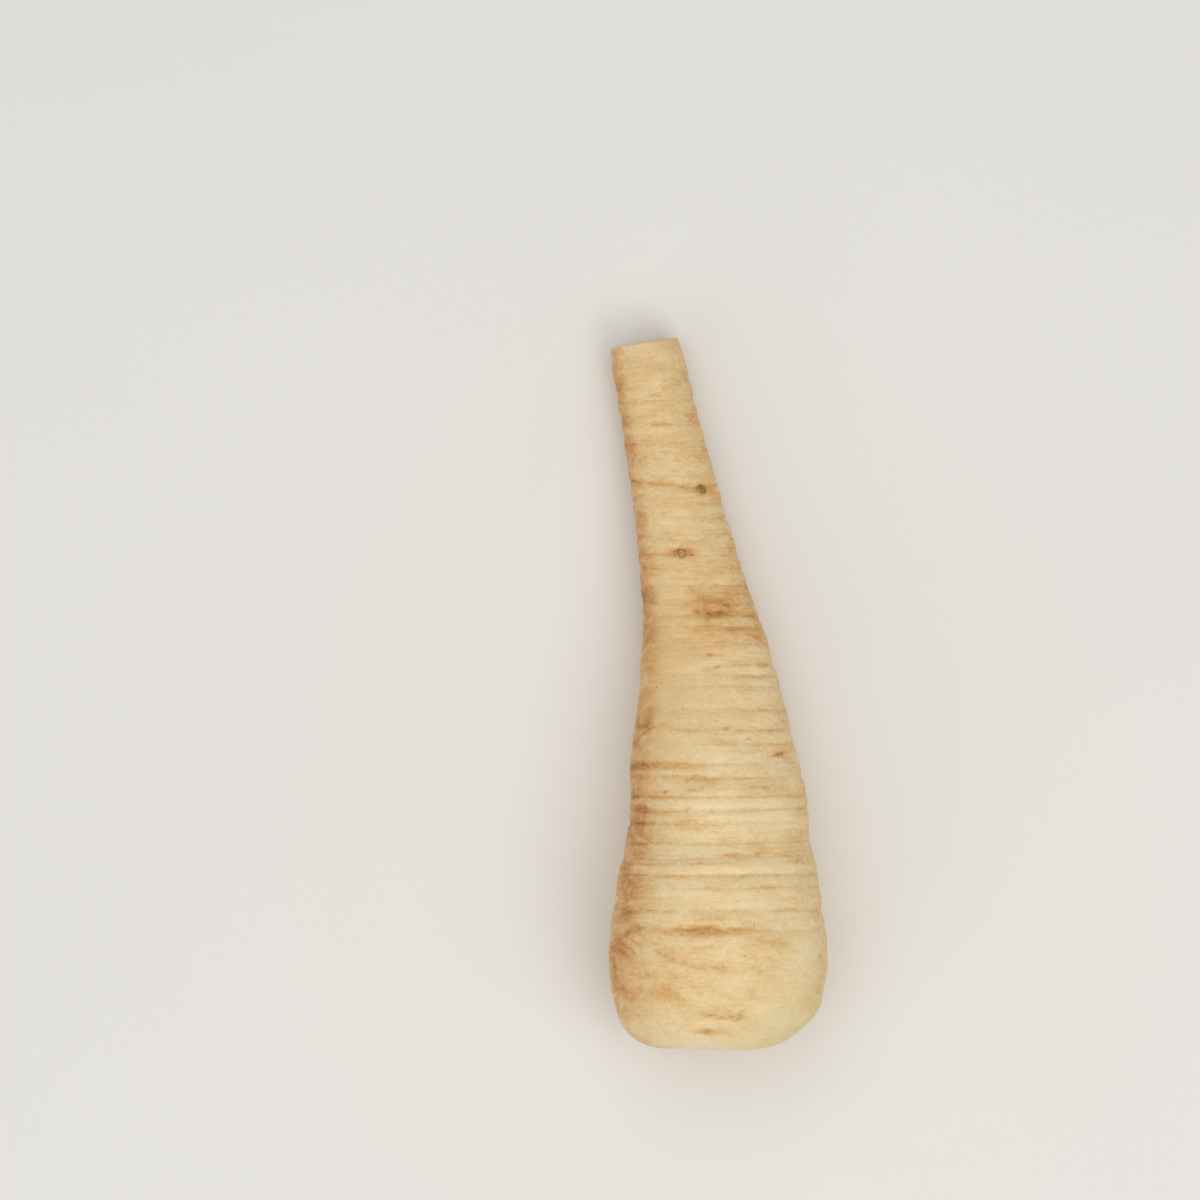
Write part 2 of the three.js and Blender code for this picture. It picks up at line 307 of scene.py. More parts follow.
@dataclass(frozen=True)
class SideRootScars:
    """The slits that side roots left, in rows along the root."""

    top: tuple[Scar, ...] = rows_of(
        Scar,
        (7.4, 2, 8, 0.6), (17.2, -2, 5, 0.3), (25.4, -4, 12, 1), (25.8, -51, 6, 0.7),
        (34.2, 30, 4.5, 0.5), (36.8, 9, 6, 0.6), (41, -57, 5, 0.6), (50.4, -59, 6, 0.6),
        (50.4, -9, 6, 0.3), (57.1, -10, 7, 0.6), (62.6, 58, 4, 0.7), (80.4, 5, 4.5, 0.4),
        (92, 14, 8, 1), (104.5, -8, 5, 0.8), (118, 40, 4, 0.8), (132, 4, 4, 0.7),
    )
    under_rows: tuple[float, ...] = (122, 178, 236)
    under_first: float = 22
    under_pitch: float = 12.5
    under_count: int = 9
    seed: int = 23
    half_height: float = 0.9
    slit: float = 0.48
    lip: float = 0.16
    dent: float = 0.28
    dent_reach: float = 4.5

    def scars(self) -> list[Scar]:
        """Draws every scar.

        Returns:
            Those on top, and rows with uneven gaps round the hidden side.
        """
        draw = draws(self.seed)
        under = [
            Scar(
                along=self.under_first + 4 * r + self.under_pitch * (i + 0.6 * next(draw)),
                degrees=row + 16 * (next(draw) - 0.5),
                length=mix(3.5, 8, next(draw)),
                strength=mix(0.4, 1, next(draw)),
            )
            for r, row in enumerate(self.under_rows)
            for i in range(self.under_count)
        ]
        return [*self.top, *under]


@dataclass(frozen=True)
class RootForm:
    """The root's own shape, in millimetres, with its crown's end at along = 0."""

    length: float = 148.7
    crown_rim: float = 9.0
    shoulder: float = 20.0
    shoulder_power: float = 2.3
    rim_wave_depth: float = 0.7
    rim_wave_reach: float = 10.0
    oval: float = 0.96
    flat_depth: float = 0.45
    ring_swing: float = 0.5
    twist: float = 0.01  # the broad lumps, as shares of the radius
    waves: float = 0.007
    waist: float = 0.004
    hollow_floor: float = 5.4
    hollow_depth: float = 3.4
    cut_slant: float = 0.16
    cut_lean_over: float = 16.0
    half: Curve = Curve((
        (20, 23.1), (30, 22.1), (38, 20.9), (44, 19.4), (50, 18.9), (61, 17.6), (73.5, 15.1),
        (84, 13.4), (97.7, 11.1), (123.7, 8.8), (142, 7.8), (148.7, 7.1),
    ))
    bend: Curve = Curve((
        (0, -1.7), (10, -0.3), (30, -0.3), (44, -0.4), (52, -0.2), (61, -1), (73.5, -1.7),
        (84, -2.7), (97.7, -5.2), (123.7, -10.6), (148.7, -15.7),
    ))
    lift: Curve = Curve(((20, 0), (66, 0), (102, 0.9), (136, 0.1), (148.7, 0)))
    rings: GrowthRings = GrowthRings()
    scars: SideRootScars = SideRootScars()

    def half_width(self, along: Array) -> Array:
        """Half width of the root, its rounded shoulder included.

        Args:
            along: where each section lies.

        Returns:
            The half widths in millimetres.
        """
        body = self.half(along)
        left = 1 - np.clip(along / self.shoulder, 0, 1)
        rounding = (1 - left**self.shoulder_power) ** (1 / self.shoulder_power)
        return mix(self.crown_rim, body, rounding)

    def middle(self, along: Array) -> tuple[Array, Array]:
        """X and Z of the middle of each section."""
        return self.bend(along), self.oval * self.half(along) + self.lift(along) - self.flat_depth

    def lumps(self, along: Array, around: Array) -> Array:
        """Broad lumps, which leave the ends and the resting flat alone.

        Args:
            along: where each point lies.
            around: its angle.

        Returns:
            Their height as a share of the radius.
        """
        fade = smoothstep(2, 25, along) * (1 - smoothstep(0.8, 1, -np.cos(around)))
        twist = self.twist * np.sin(2 * around + along / 19)
        waves = self.waves * np.sin(3 * around - along / 11 + 1)
        waist = self.waist * np.sin(along / 6.5 + 2 * np.sin(around))
        return fade * (twist + waves + waist)

    def ring_wander(self, ring_at: Array, around: Array) -> Array:
        """How far a ring has wandered towards the crown at each angle.

        Args:
            ring_at: the ring.
            around: the angle.

        Returns:
            The distance in millimetres.
        """
        fade = smoothstep(6, 24, ring_at)
        fade = fade * (1 - smoothstep(self.length - 12, self.length - 2, ring_at))
        wave = 0.6 * np.sin(around + ring_at / 17) + 0.4 * np.sin(2 * around - ring_at / 9 + 1.3)
        return self.ring_swing * fade * wave

    def rim_wave(self, ring_at: Array, around: Array) -> Array:
        """How far the crown's uneven rim falls back towards the tail at each angle."""
        wave = 0.5 - 0.3 * np.sin(2 * around + 0.8) - 0.2 * np.sin(3 * around - 1)
        return self.rim_wave_depth * wave * (1 - smoothstep(0, self.rim_wave_reach, ring_at))

    def along(self, ring_at: Array, around: Array) -> Array:
        """Distance along the root of a place that is given by the ring it lies on."""
        return ring_at - self.ring_wander(ring_at, around)

    def scar_relief(self, along: Array, around: Array) -> Array:
        """Height of the skin from its scars: a slit between two lips, in a shallow dent.

        Args:
            along: where each point lies.
            around: its angle.

        Returns:
            The height in millimetres.
        """
        marks = self.scars
        height = np.zeros(np.broadcast(along, around).shape)
        for scar in marks.scars():
            off = along - scar.along
            turned = angle_between(around, math.radians(scar.degrees))
            across = self.half_width(scar.along) * turned
            rise = off / marks.half_height
            ends = bell((2 * across / scar.length) ** 2)
            slit = marks.lip * bell(np.abs(rise) - 1.9) - marks.slit * bell(rise)
            dent = marks.dent * bell(off / marks.dent_reach) * bell(across / (scar.length + 1))
            near = np.hypot(off, across) <= scar.length + marks.dent_reach
            height += near * scar.strength * (ends * slit - dent)
        return height

    def free_of_ends(self, along: Array, around: Array) -> Array:
        """1 on the open skin, and 0 at the two ends and where the root rests."""
        ends = smoothstep(1, 6, along) * (1 - smoothstep(self.length - 4, self.length - 1, along))
        return ends * (1 - smoothstep(0.86, 0.96, -np.cos(around)))

    def points(self, ring_at: Array, around: Array, share: Array | float = 1.0,
               extra: Array | float = 0.0) -> Array:
        """Points of the skin, or at a share of its radius.

        Args:
            ring_at: the ring that each point lies on.
            around: its angle.
            share: how far out it lies, from 0 on the axis to 1 on the skin.
            extra: relief to add to the root's own, in millimetres.

        Returns:
            An array whose last axis is x, y, z in millimetres.
        """
        along = self.along(ring_at, around)
        x, z = self.middle(along)
        relief = self.rings.relief(ring_at, around) + self.scar_relief(along, around)
        radius = self.half_width(along) * (1 + self.lumps(along, around))
        radius = share * (radius + self.free_of_ends(along, around) * relief + extra)
        across = radius * np.sin(around)
        lean = self.cut_slant * smoothstep(self.length - self.cut_lean_over, self.length, along)
        height = z + self.oval * radius * np.cos(around)
        y = along + lean * across + share * self.rim_wave(ring_at, around)
        return np.stack(np.broadcast_arrays(x + across, y, height), axis=-1)

    def hollow_dip(self, radius: Array) -> Array:
        """How deep the crown's hollow is at a distance from its middle."""
        return self.hollow_depth * (1 - smoothstep(self.hollow_floor, self.crown_rim, radius))


@dataclass(frozen=True)
class Picture:
    """What the camera shows: its size, and where the shared frame's origin lies in it."""

    pixels: int = 1200
    pixel: float = 0.21  # millimetres, at the height of the root's axis
    origin: tuple[float, float] = (718.0, 693.3)  # column and row

    def spot(self, column: float, row: float) -> tuple[float, float]:
        """X and Y of a pixel in the shared frame, in millimetres."""
        return (column - self.origin[0]) * self.pixel, (self.origin[1] - row) * self.pixel


@dataclass(frozen=True)
class Place:
    """Where the root's own coordinates lie in the shared frame and in the camera's picture."""

    shift: tuple[float, float]
    picture: Picture = Picture()

    @classmethod
    def of_form(cls, form: RootForm) -> "Place":
        """Finds the place from the solid's box, which the form fills.

        Args:
            form: the root's shape.

        Returns:
            The place that puts the crown's end and both sides at the box's faces.
        """
        low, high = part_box(NODE)
        ring_at, around = np.meshgrid(
            np.linspace(0, form.length, 300), np.linspace(0, TURN, 180), indexing="ij"
        )
        x, y, _ = np.moveaxis(form.points(ring_at, around), -1, 0)
        middle = (x.min() + x.max()) / 2
        return cls(shift=((low[0] + high[0]) / 2 / MM - middle, low[1] / MM - y.min()))

    def under_pixel(self, column: float, row: float) -> tuple[float, float]:
        """X and Y about the root of what the camera sees in a pixel, in millimetres."""
        x, y = self.picture.spot(column, row)
        return x - self.shift[0], y - self.shift[1]

    def metres(self, points: Array) -> Array:
        """Moves points into the frame, none of them below the surface.

        Args:
            points: in millimetres about the root.

        Returns:
            The points in metres.
        """
        moved = points + np.array([*self.shift, 0.0])
        moved[..., 2] = np.maximum(moved[..., 2], 0)
        return moved * MM


# ---------------------------------------------------------------- meshes and pieces


@dataclass
class MeshSheet:
    """Rows of points joined into one closed mesh, with values stored at its points."""

    points: list[Array] = field(default_factory=list)
    faces: list[tuple[int, ...]] = field(default_factory=list)
    finishes: list[int] = field(default_factory=list)
    values: dict[str, list[Array]] = field(default_factory=dict)
    count: int = 0

    def loft(self, rows: Array, values: Values | None = None,
             finishes: Sequence[int] | None = None) -> None:
        """Adds a closed body through rows of points, its two ends fanned from their middles.

        Seen from the first row towards the last, every row runs clockwise.

        Args:
            rows: points in metres, as rows by places in a row by x, y, z.
            values: numbers to store at the points, by name, as rows by places.
            finishes: the finish of the faces that start at each row.
        """
        n_rows, n = rows.shape[:2]
        base = self.count
        finishes = finishes or [0] * n_rows
        self.points.append(rows.reshape(-1, 3))
        self.points.append(rows[[0, -1]].mean(axis=1))
        for name, grid in (values or {}).items():
            ends = grid[[0, -1]].mean(axis=1)
            self.values.setdefault(name, []).append(np.concatenate([grid.reshape(-1), ends]))
        for row in range(n_rows - 1):
            near = base + row * n
            for k in range(n):
                right = (k + 1) % n
                self.faces.append((near + k, near + right, near + n + right, near + n + k))
                self.finishes.append(finishes[row])
        first, last = base + n_rows * n, base + n_rows * n + 1
        end = base + (n_rows - 1) * n
        for k in range(n):
            right = (k + 1) % n
            self.faces.append((first, base + right, base + k))
            self.finishes.append(finishes[0])
            self.faces.append((last, end + k, end + right))
            self.finishes.append(finishes[-1])
        self.count += n_rows * n + 2

    def to_object(self, name: str, materials: Sequence[bpy.types.Material]) -> bpy.types.Object:
        """Makes the smooth-shaded Blender object and links it to the scene.

        Args:
            name: the piece's name.
            materials: its finishes, in the order that the faces number them.

        Returns:
            The new object.
        """
        mesh = bpy.data.meshes.new(name)
        mesh.from_pydata(np.concatenate(self.points).tolist(), [], self.faces)
        for material in materials:
            mesh.materials.append(material)
        mesh.polygons.foreach_set("material_index", self.finishes)
        mesh.polygons.foreach_set("use_smooth", [True] * len(mesh.polygons))
        for key, parts in self.values.items():
            layer = mesh.attributes.new(key, "FLOAT", "POINT")
            layer.data.foreach_set("value", np.concatenate(parts).astype(np.float32))
        mesh.update()
        piece = bpy.data.objects.new(name, mesh)
        bpy.context.collection.objects.link(piece)
        return piece


def attach(piece: bpy.types.Object) -> bpy.types.Object:
    """Makes a piece ride on the root's body and stand for the root's node.

    Args:
        piece: the finished object, in place.

    Returns:
        The same object.
    """
    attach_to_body(piece, BODY)
    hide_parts(NODE)
    log.info("%s: %d faces", piece.name, len(piece.data.polygons))
    return piece


# ---------------------------------------------------------------- finishes


class Mix(Enum):
    """How one colour is laid over another."""

    COVER = "MIX"
    STAIN = "MULTIPLY"


Socket = bpy.types.NodeSocket
Input = Socket | float

UNDER, OVER, LAID = 6, 7, 2  # a mix node's colour sockets, whose names its others share


@dataclass(frozen=True)
class Texture:
    """The grain of cloudy noise, with `scale` features to a centimetre."""

    scale: float
    detail: float = 4.0
    rough: float = 0.6
    warp: float = 0.0


@dataclass
class NodeSheet:
    """The node tree of one finish, with a short call for each kind of node that it uses."""

    name: str
    material: bpy.types.Material = field(init=False)

    def __post_init__(self) -> None:
        """Makes the material with its shader."""
        self.material = bpy.data.materials.new(self.name)
        self.material.use_nodes = True

    @property
    def shader(self) -> bpy.types.Node:
        """The finish's one surface shader."""
        return self.material.node_tree.nodes["Principled BSDF"]

    def node(self, kind: str) -> bpy.types.Node:
        """A new node of a kind."""
        return self.material.node_tree.nodes.new(kind)

    def feed(self, socket: Socket, value: Input | Sequence[float]) -> None:
        """Gives a socket what it reads.

        Args:
            socket: the one to set.
            value: another socket to link it to, or a plain value.
        """
        if isinstance(value, bpy.types.NodeSocket):
            self.material.node_tree.links.new(value, socket)
        else:
            socket.default_value = value

    def value(self, name: str) -> Socket:
        """A number stored at the mesh's points.

        Args:
            name: the number's name on the mesh.

        Returns:
            The number.
        """
        node = self.node("ShaderNodeAttribute")
        node.attribute_name = name
        return node.outputs["Fac"]

    def place(self, stretch: Triple = (1, 1, 1), along: Socket | None = None) -> Socket:
        """The place on the piece in centimetres.

        Args:
            stretch: what each axis is multiplied by, so that 3 makes features 3 times as small.
            along: a distance in centimetres to use instead of Y.

        Returns:
            The place, for the texture nodes.
        """
        join = self.node("ShaderNodeCombineXYZ")
        split = self.node("ShaderNodeSeparateXYZ")
        self.feed(split.inputs[0], self.node("ShaderNodeTexCoord").outputs["Object"])
        for axis, factor in enumerate(stretch):
            part = self.times(split.outputs[axis], CM_IN_A_METRE * factor)
            if axis == 1 and along is not None:
                part = self.times(along, factor)
            self.feed(join.inputs[axis], part)
        return join.outputs[0]

    def math(self, operation: str, *numbers: Input) -> Socket:
        """The result of an operation on numbers.

        Args:
            operation: its name in Blender.
            numbers: one to three of them.

        Returns:
            The result.
        """
        node = self.node("ShaderNodeMath")
        node.operation = operation
        for socket, number in zip(node.inputs, numbers):
            self.feed(socket, number)
        return node.outputs[0]

    def times(self, one: Input, other: Input) -> Socket:
        """One number times another."""
        return self.math("MULTIPLY", one, other)

    def plus(self, start: Input, part: Input, weight: float = 1.0) -> Socket:
        """A number with a weighted other one added."""
        return self.math("MULTIPLY_ADD", part, weight, start)

    def vary(self, start: float, parts: Sequence[tuple[Socket, float]]) -> Socket:
        """A number that textures raise and lower.

        Args:
            start: the number where every texture stands at a half.
            parts: each texture, and how far its whole range moves the number.

        Returns:
            The varied number.
        """
        total = start - sum(weight for _, weight in parts) / 2
        for texture, weight in parts:
            total = self.plus(total, texture, weight)
        return total

    def ramp(self, value: Socket, stops: Sequence[tuple[float, Colour]]) -> Socket:
        """The colour that a number stands for.

        Args:
            value: the number.
            stops: pairs of a number and its colour, to blend between.

        Returns:
            The colour.
        """
        node = self.node("ShaderNodeValToRGB")
        elements = node.color_ramp.elements
        elements.remove(elements[-1])
        for at, colour in stops[1:]:
            elements.new(at).color = (*colour, 1.0)
        elements[0].position = stops[0][0]
        elements[0].color = (*stops[0][1], 1.0)
        self.feed(node.inputs["Fac"], value)
        return node.outputs["Color"]

    def noise(self, place: Socket, texture: Texture) -> Socket:
        """Cloudy noise from 0 to 1.

        Args:
            place: where it is read.
            texture: its grain.

        Returns:
            The noise.
        """
        node = self.node("ShaderNodeTexNoise")
        self.feed(node.inputs["Vector"], place)
        self.feed(node.inputs["Scale"], texture.scale)
        self.feed(node.inputs["Detail"], texture.detail)
        self.feed(node.inputs["Roughness"], texture.rough)
        self.feed(node.inputs["Distortion"], texture.warp)
        return node.outputs["Fac"]

    def cells(self, place: Socket, scale: float) -> Socket:
        """Distance from the middle of the nearest of many scattered cells.

        Args:
            place: where it is read.
            scale: how many cells there are to a centimetre.

        Returns:
            The distance as a share of a cell's size.
        """
        node = self.node("ShaderNodeTexVoronoi")
        self.feed(node.inputs["Vector"], place)
        self.feed(node.inputs["Scale"], scale)
        return node.outputs["Distance"]

    def rise(self, value: Input, low: float, high: float, top: float = 1.0) -> Socket:
        """A smooth rise of a number between two of its values.

        Args:
            value: the number.
            low: the value where the rise starts, at 0.
            high: the value where it ends.
            top: what it rises to.

        Returns:
            The risen number.
        """
        node = self.node("ShaderNodeMapRange")
        node.interpolation_type = "SMOOTHSTEP"
        ends = {"Value": value, "From Min": low, "From Max": high, "To Min": 0.0, "To Max": top}
        for name, end in ends.items():
            self.feed(node.inputs[name], end)
        return node.outputs["Result"]

    def spread(self, value: Input, low: float, high: float) -> Socket:
        """A number from 0 to 1 spread evenly over another range.

        Args:
            value: the number.
            low: what 0 becomes.
            high: what 1 becomes.

        Returns:
            The spread number.
        """
        node = self.node("ShaderNodeMapRange")
        for name, end in {"Value": value, "To Min": low, "To Max": high}.items():
            self.feed(node.inputs[name], end)
        return node.outputs["Result"]

    def lay(self, share: Input, under: Socket | Colour, over: Socket | Colour,
            how: Mix = Mix.COVER) -> Socket:
        """One colour laid over another.

        Args:
            share: how much of the upper colour shows, from 0 to 1.
            under: the lower colour.
            over: the upper colour.
            how: the way they combine.

        Returns:
            The resulting colour.
        """
        node = self.node("ShaderNodeMix")
        node.data_type = "RGBA"
        node.blend_type = how.value
        node.clamp_factor = True
        self.feed(node.inputs["Factor"], share)
        for number, colour in ((UNDER, under), (OVER, over)):
            opaque = (*colour, 1.0) if isinstance(colour, tuple) else colour
            self.feed(node.inputs[number], opaque)
        return node.outputs[LAID]

    def bump(self, height: Socket, depth: float, under: Socket | None = None) -> Socket:
        """A normal that follows a height.

        Args:
            height: the height, from 0 to 1.
            depth: how tall 1 is, in millimetres.
            under: a bump that this one lies on.

        Returns:
            The new normal.
        """
        node = self.node("ShaderNodeBump")
        self.feed(node.inputs["Height"], height)
        self.feed(node.inputs["Distance"], depth * MM)
        if under is not None:
            self.feed(node.inputs["Normal"], under)
        return node.outputs["Normal"]

    def soften(self, weight: float, reach: Triple) -> None:
        """Lets light into the surface.

        Args:
            weight: how much of the light goes in.
            reach: how far red, green and blue go, in millimetres.
        """
        self.shader.inputs["Subsurface Weight"].default_value = weight
        self.shader.inputs["Subsurface Radius"].default_value = reach
        self.shader.inputs["Subsurface Scale"].default_value = MM

    def dress(self, colour: Socket, roughness: Input, specular: float = 0.5,
              normal: Socket | None = None) -> bpy.types.Material:
        """Gives the shader what it shows.

        Args:
            colour: the surface's colour.
            roughness: from 0, a mirror, to 1.
            specular: how strongly the surface mirrors light.
            normal: the normal with its bumps.

        Returns:
            The finished material.
        """
        self.feed(self.shader.inputs["Base Color"], colour)
        self.feed(self.shader.inputs["Roughness"], roughness)
        self.shader.inputs["Specular IOR Level"].default_value = specular
        if normal is not None:
            self.feed(self.shader.inputs["Normal"], normal)
        return self.material


@dataclass(frozen=True)
class SkinFinish:
    """Washed parsnip skin: cream, with tan bands, brown scar lines, painted light and shade, and a
    faint waxy sheen.
    """

    tones: tuple[tuple[float, Colour], ...] = (
        (0.0, paint(246, 226, 184)),
        (0.2, paint(239, 213, 164)),
        (0.42, paint(229, 192, 133)),
        (0.6, paint(217, 168, 102)),
        (0.76, paint(200, 146, 82)),
        (0.9, paint(178, 122, 56)),
        (1.0, paint(152, 98, 38)),
    )
    # Rust on the scars, and painted shade on the -X side and underneath.
    rust: Colour = paint(238, 192, 142)
    shade: Colour = paint(212, 202, 170)
    green: Colour = paint(220, 204, 134)
    cloud: Texture = Texture(0.7, warp=0.6)
    blotch: Texture = Texture(2.2, 5, 0.62, 0.8)
    band: Texture = Texture(0.9)
    line: Texture = Texture(0.9, 5, 0.7)
    mottle: Texture = Texture(9, rough=0.65)
    grain: Texture = Texture(30, 3)
    torn: Texture = Texture(4.5, 5, 0.75)
    wide: Triple = (0.75, 1.7, 0.75)  # how the place is stretched for blotches and mottling,
    streaky: Triple = (0.6, 5.0, 0.6)  # for bands,
    hairy: Triple = (1.2, 20.0, 1.2)  # and for fine lines
    specks: float = 11.0  # dark specks in the scars and stains, to a centimetre
    pores: float = 4.2  # pores, to a centimetre
    roughness: tuple[float, float] = (0.44, 0.62)
    wax: float = 0.06
    wax_roughness: float = 0.35

    def material(self) -> bpy.types.Material:
        """The finish as a material.

        Returns:
            A material that reads the values stored on the skin's mesh.
        """
        sheet = NodeSheet("parsnip skin")
        along = sheet.value("ring_at")
        flat = sheet.place()
        wide = sheet.place(self.wide, along)
        streaky = sheet.place(self.streaky, along)
        cloud = sheet.noise(flat, self.cloud)
        blotch = sheet.noise(wide, self.blotch)
        band = sheet.noise(streaky, self.band)
        line = sheet.noise(sheet.place(self.hairy, along), self.line)
        mottle = sheet.noise(wide, self.mottle)
        grain = sheet.noise(flat, self.grain)

        # How brown the skin is, as one number: its mottling, bands and broad tones first, with
        # painted light and shade among the tones.
        busy = sheet.value("busy")
        texture = sheet.vary(0.0, ((blotch, 0.38), (mottle, 0.52), (grain, 0.42)))
        level = sheet.math("MULTIPLY_ADD", texture, busy, sheet.vary(0.23, ((cloud, 0.42),)))
        banded = sheet.vary(0.0, ((band, 0.42), (line, 0.3)))
        level = sheet.math("MULTIPLY_ADD", banded, sheet.value("banding"), level)
        uneven = sheet.vary(1.0, ((blotch, 1.0), (band, 0.8)))
        level = sheet.plus(level, sheet.times(sheet.value("tone"), uneven), 0.34)
        uneven = sheet.vary(0.8, ((blotch, 1.4), (line, 0.8)))
        groove_brown_and_shade = sheet.times(sheet.value("ring_line"), uneven)
        level = sheet.plus(level, groove_brown_and_shade, 0.12)

        # Then stains, scars, specks, pores and the darkening in and round the crown's hollow.
        ragged = sheet.vary(1.0, ((sheet.noise(streaky, self.torn), 1.8), (mottle, 1.6)))
        stain = sheet.times(sheet.value("stain"), ragged)
        brown = sheet.math("MINIMUM", sheet.times(stain, 0.28), 0.36)
        uneven = sheet.vary(0.85, ((line, 1.4), (mottle, 1.4)))
        core = sheet.rise(sheet.times(sheet.value("scar_core"), uneven), 0.1, 1.2, 0.14)
        level = sheet.plus(level, sheet.math("MAXIMUM", brown, core))
        speck = sheet.rise(sheet.cells(flat, self.specks), 0.26, 0.1)
        level = sheet.plus(level, sheet.times(speck, sheet.value("dots")), 0.2)
        pore = sheet.rise(sheet.cells(flat, self.pores), 0.11, 0.05)
        level = sheet.plus(level, sheet.times(pore, sheet.rise(cloud, 0.5, 0.6)), 0.45)
        hollow_dark = sheet.times(sheet.value("hollow"), sheet.spread(blotch, 0.1, 1.1))
        level = sheet.plus(level, hollow_dark, 0.75)

        colour = sheet.ramp(level, self.tones)
        # Painted shade: the shade colour darkens the grooves' lines, and tints the stains the same
        # way.
        dim = sheet.plus(sheet.times(groove_brown_and_shade, 0.3), stain, 0.16)
        colour = sheet.lay(sheet.math("MINIMUM", dim, 0.5), colour, self.shade, Mix.STAIN)
        # Rust on the scars, and painted shade on the -X side and underneath, laid with the rust
        # colour.
        rust = sheet.times(sheet.value("rust"), sheet.rise(blotch, 0.3, 0.62))
        colour = sheet.lay(rust, colour, self.rust, Mix.STAIN)
        green = sheet.times(sheet.value("green"), sheet.spread(cloud, 0.1, 0.9))
        colour = sheet.lay(green, colour, self.green)

        sheet.shader.inputs["Coat Weight"].default_value = self.wax
        sheet.shader.inputs["Coat Roughness"].default_value = self.wax_roughness
        sheet.soften(0.22, (3.2, 1.7, 0.8))
        normal = sheet.bump(grain, 0.05)
        for height, depth in ((mottle, 0.08), (line, 0.08), (band, 0.1)):
            normal = sheet.bump(sheet.times(height, busy), depth, normal)
        return sheet.dress(colour, sheet.spread(blotch, *self.roughness), 0.42, normal)


@dataclass(frozen=True)
class CutFinish:
    """Knife-cut flesh: pale, with a ring round the core, fine rays and a dry brown edge."""

    flesh: Colour = paint(252, 232, 196)
    core: Colour = paint(244, 214, 158)
    ring: Colour = paint(212, 166, 104)
    edge: Colour = paint(168, 116, 66)
    rays: Texture = Texture(13, rough=0.7)
    cloud: Texture = Texture(7)

    def material(self) -> bpy.types.Material:
        """The finish as a material.

        Returns:
            A material that reads the share of the radius and the direction from the mesh.
        """
        sheet = NodeSheet("cut flesh")
        share = sheet.value("share")
        spokes = sheet.node("ShaderNodeCombineXYZ")
        across = (sheet.value("ray_x"), sheet.value("ray_z"), sheet.times(share, 0.35))
        for socket, value in zip(spokes.inputs, across):
            sheet.feed(socket, value)
        rays = sheet.noise(spokes.outputs[0], self.rays)
        cloud = sheet.noise(sheet.place(), self.cloud)
        wavy = sheet.plus(share, sheet.spread(cloud, -0.09, 0.09))
        colour = sheet.lay(sheet.rise(wavy, 0.56, 0.44), self.flesh, self.core)
        colour = sheet.lay(sheet.rise(rays, 0.5, 0.7, 0.4), colour, self.ring)
        near = sheet.math("ABSOLUTE", sheet.math("SUBTRACT", wavy, 0.5))
        colour = sheet.lay(sheet.rise(near, 0.09, 0.02, 0.6), colour, self.ring)
        colour = sheet.lay(sheet.rise(cloud, 0.55, 0.8, 0.35), colour, self.ring)
        colour = sheet.lay(sheet.rise(share, 0.88, 1.0, 0.75), colour, self.edge)
        sheet.soften(0.15, (2.4, 1.8, 1.0))
        normal = sheet.bump(rays, 0.12, sheet.bump(cloud, 0.1))
        return sheet.dress(colour, sheet.spread(cloud, 0.5, 0.75), 0.4, normal)


@dataclass(frozen=True)
class StalkFinish:
    """A cut leaf stalk: green-cream sides and a dry, fibrous brown top."""

    side: Colour = paint(212, 180, 120)
    green: Colour = paint(166, 152, 88)
    dry: Colour = paint(184, 138, 88)
    dark: Colour = paint(92, 60, 34)
    cloud: Texture = Texture(5)
    fibre: Texture = Texture(22, rough=0.7)
    vessels: float = 16.0  # to a centimetre

    def material(self) -> bpy.types.Material:
        """The finish as a material.

        Returns:
            A material that reads how high up its stalk each point is.
        """
        sheet = NodeSheet("cut leaf stalk")
        tip = sheet.value("tip")
        place = sheet.place()
        cloud = sheet.noise(place, self.cloud)
        fibre = sheet.noise(sheet.place((1, 0.15, 1)), self.fibre)
        colour = sheet.lay(sheet.rise(cloud, 0.42, 0.7), self.side, self.green)
        colour = sheet.lay(sheet.rise(fibre, 0.5, 0.75, 0.6), colour, self.dry)
        colour = sheet.lay(sheet.rise(tip, 0.72, 0.97, 0.85), colour, self.dry)
        dots = sheet.rise(sheet.cells(place, self.vessels), 0.32, 0.12, 0.75)
        dots = sheet.times(dots, sheet.rise(tip, 0.9, 1.0))
        colour = sheet.lay(dots, colour, self.dark)
        rim = sheet.times(sheet.value("rim"), sheet.rise(cloud, 0.3, 0.6, 0.8))
        colour = sheet.lay(rim, colour, self.dark)
        sheet.soften(0.08, (1.6, 1.2, 0.7))
        normal = sheet.bump(fibre, 0.2, sheet.bump(cloud, 0.15))
        return sheet.dress(colour, sheet.spread(fibre, 0.55, 0.8), 0.35, normal)


@dataclass(frozen=True)
class FibreFinish:
    """Dry rootlets and stubs: thin, tan to brown."""

    pale: Colour = paint(196, 158, 104)
    dark: Colour = paint(118, 78, 44)
    cloud: Texture = Texture(9, 3)

    def material(self) -> bpy.types.Material:
        """The finish as a material.

        Returns:
            A material that needs nothing from the mesh.
        """
        sheet = NodeSheet("dry fibre")
        cloud = sheet.noise(sheet.place(), self.cloud)
        colour = sheet.lay(sheet.rise(cloud, 0.38, 0.66), self.pale, self.dark)
        rough = sheet.spread(cloud, 0.6, 0.85)
        return sheet.dress(colour, rough, normal=sheet.bump(cloud, 0.05))


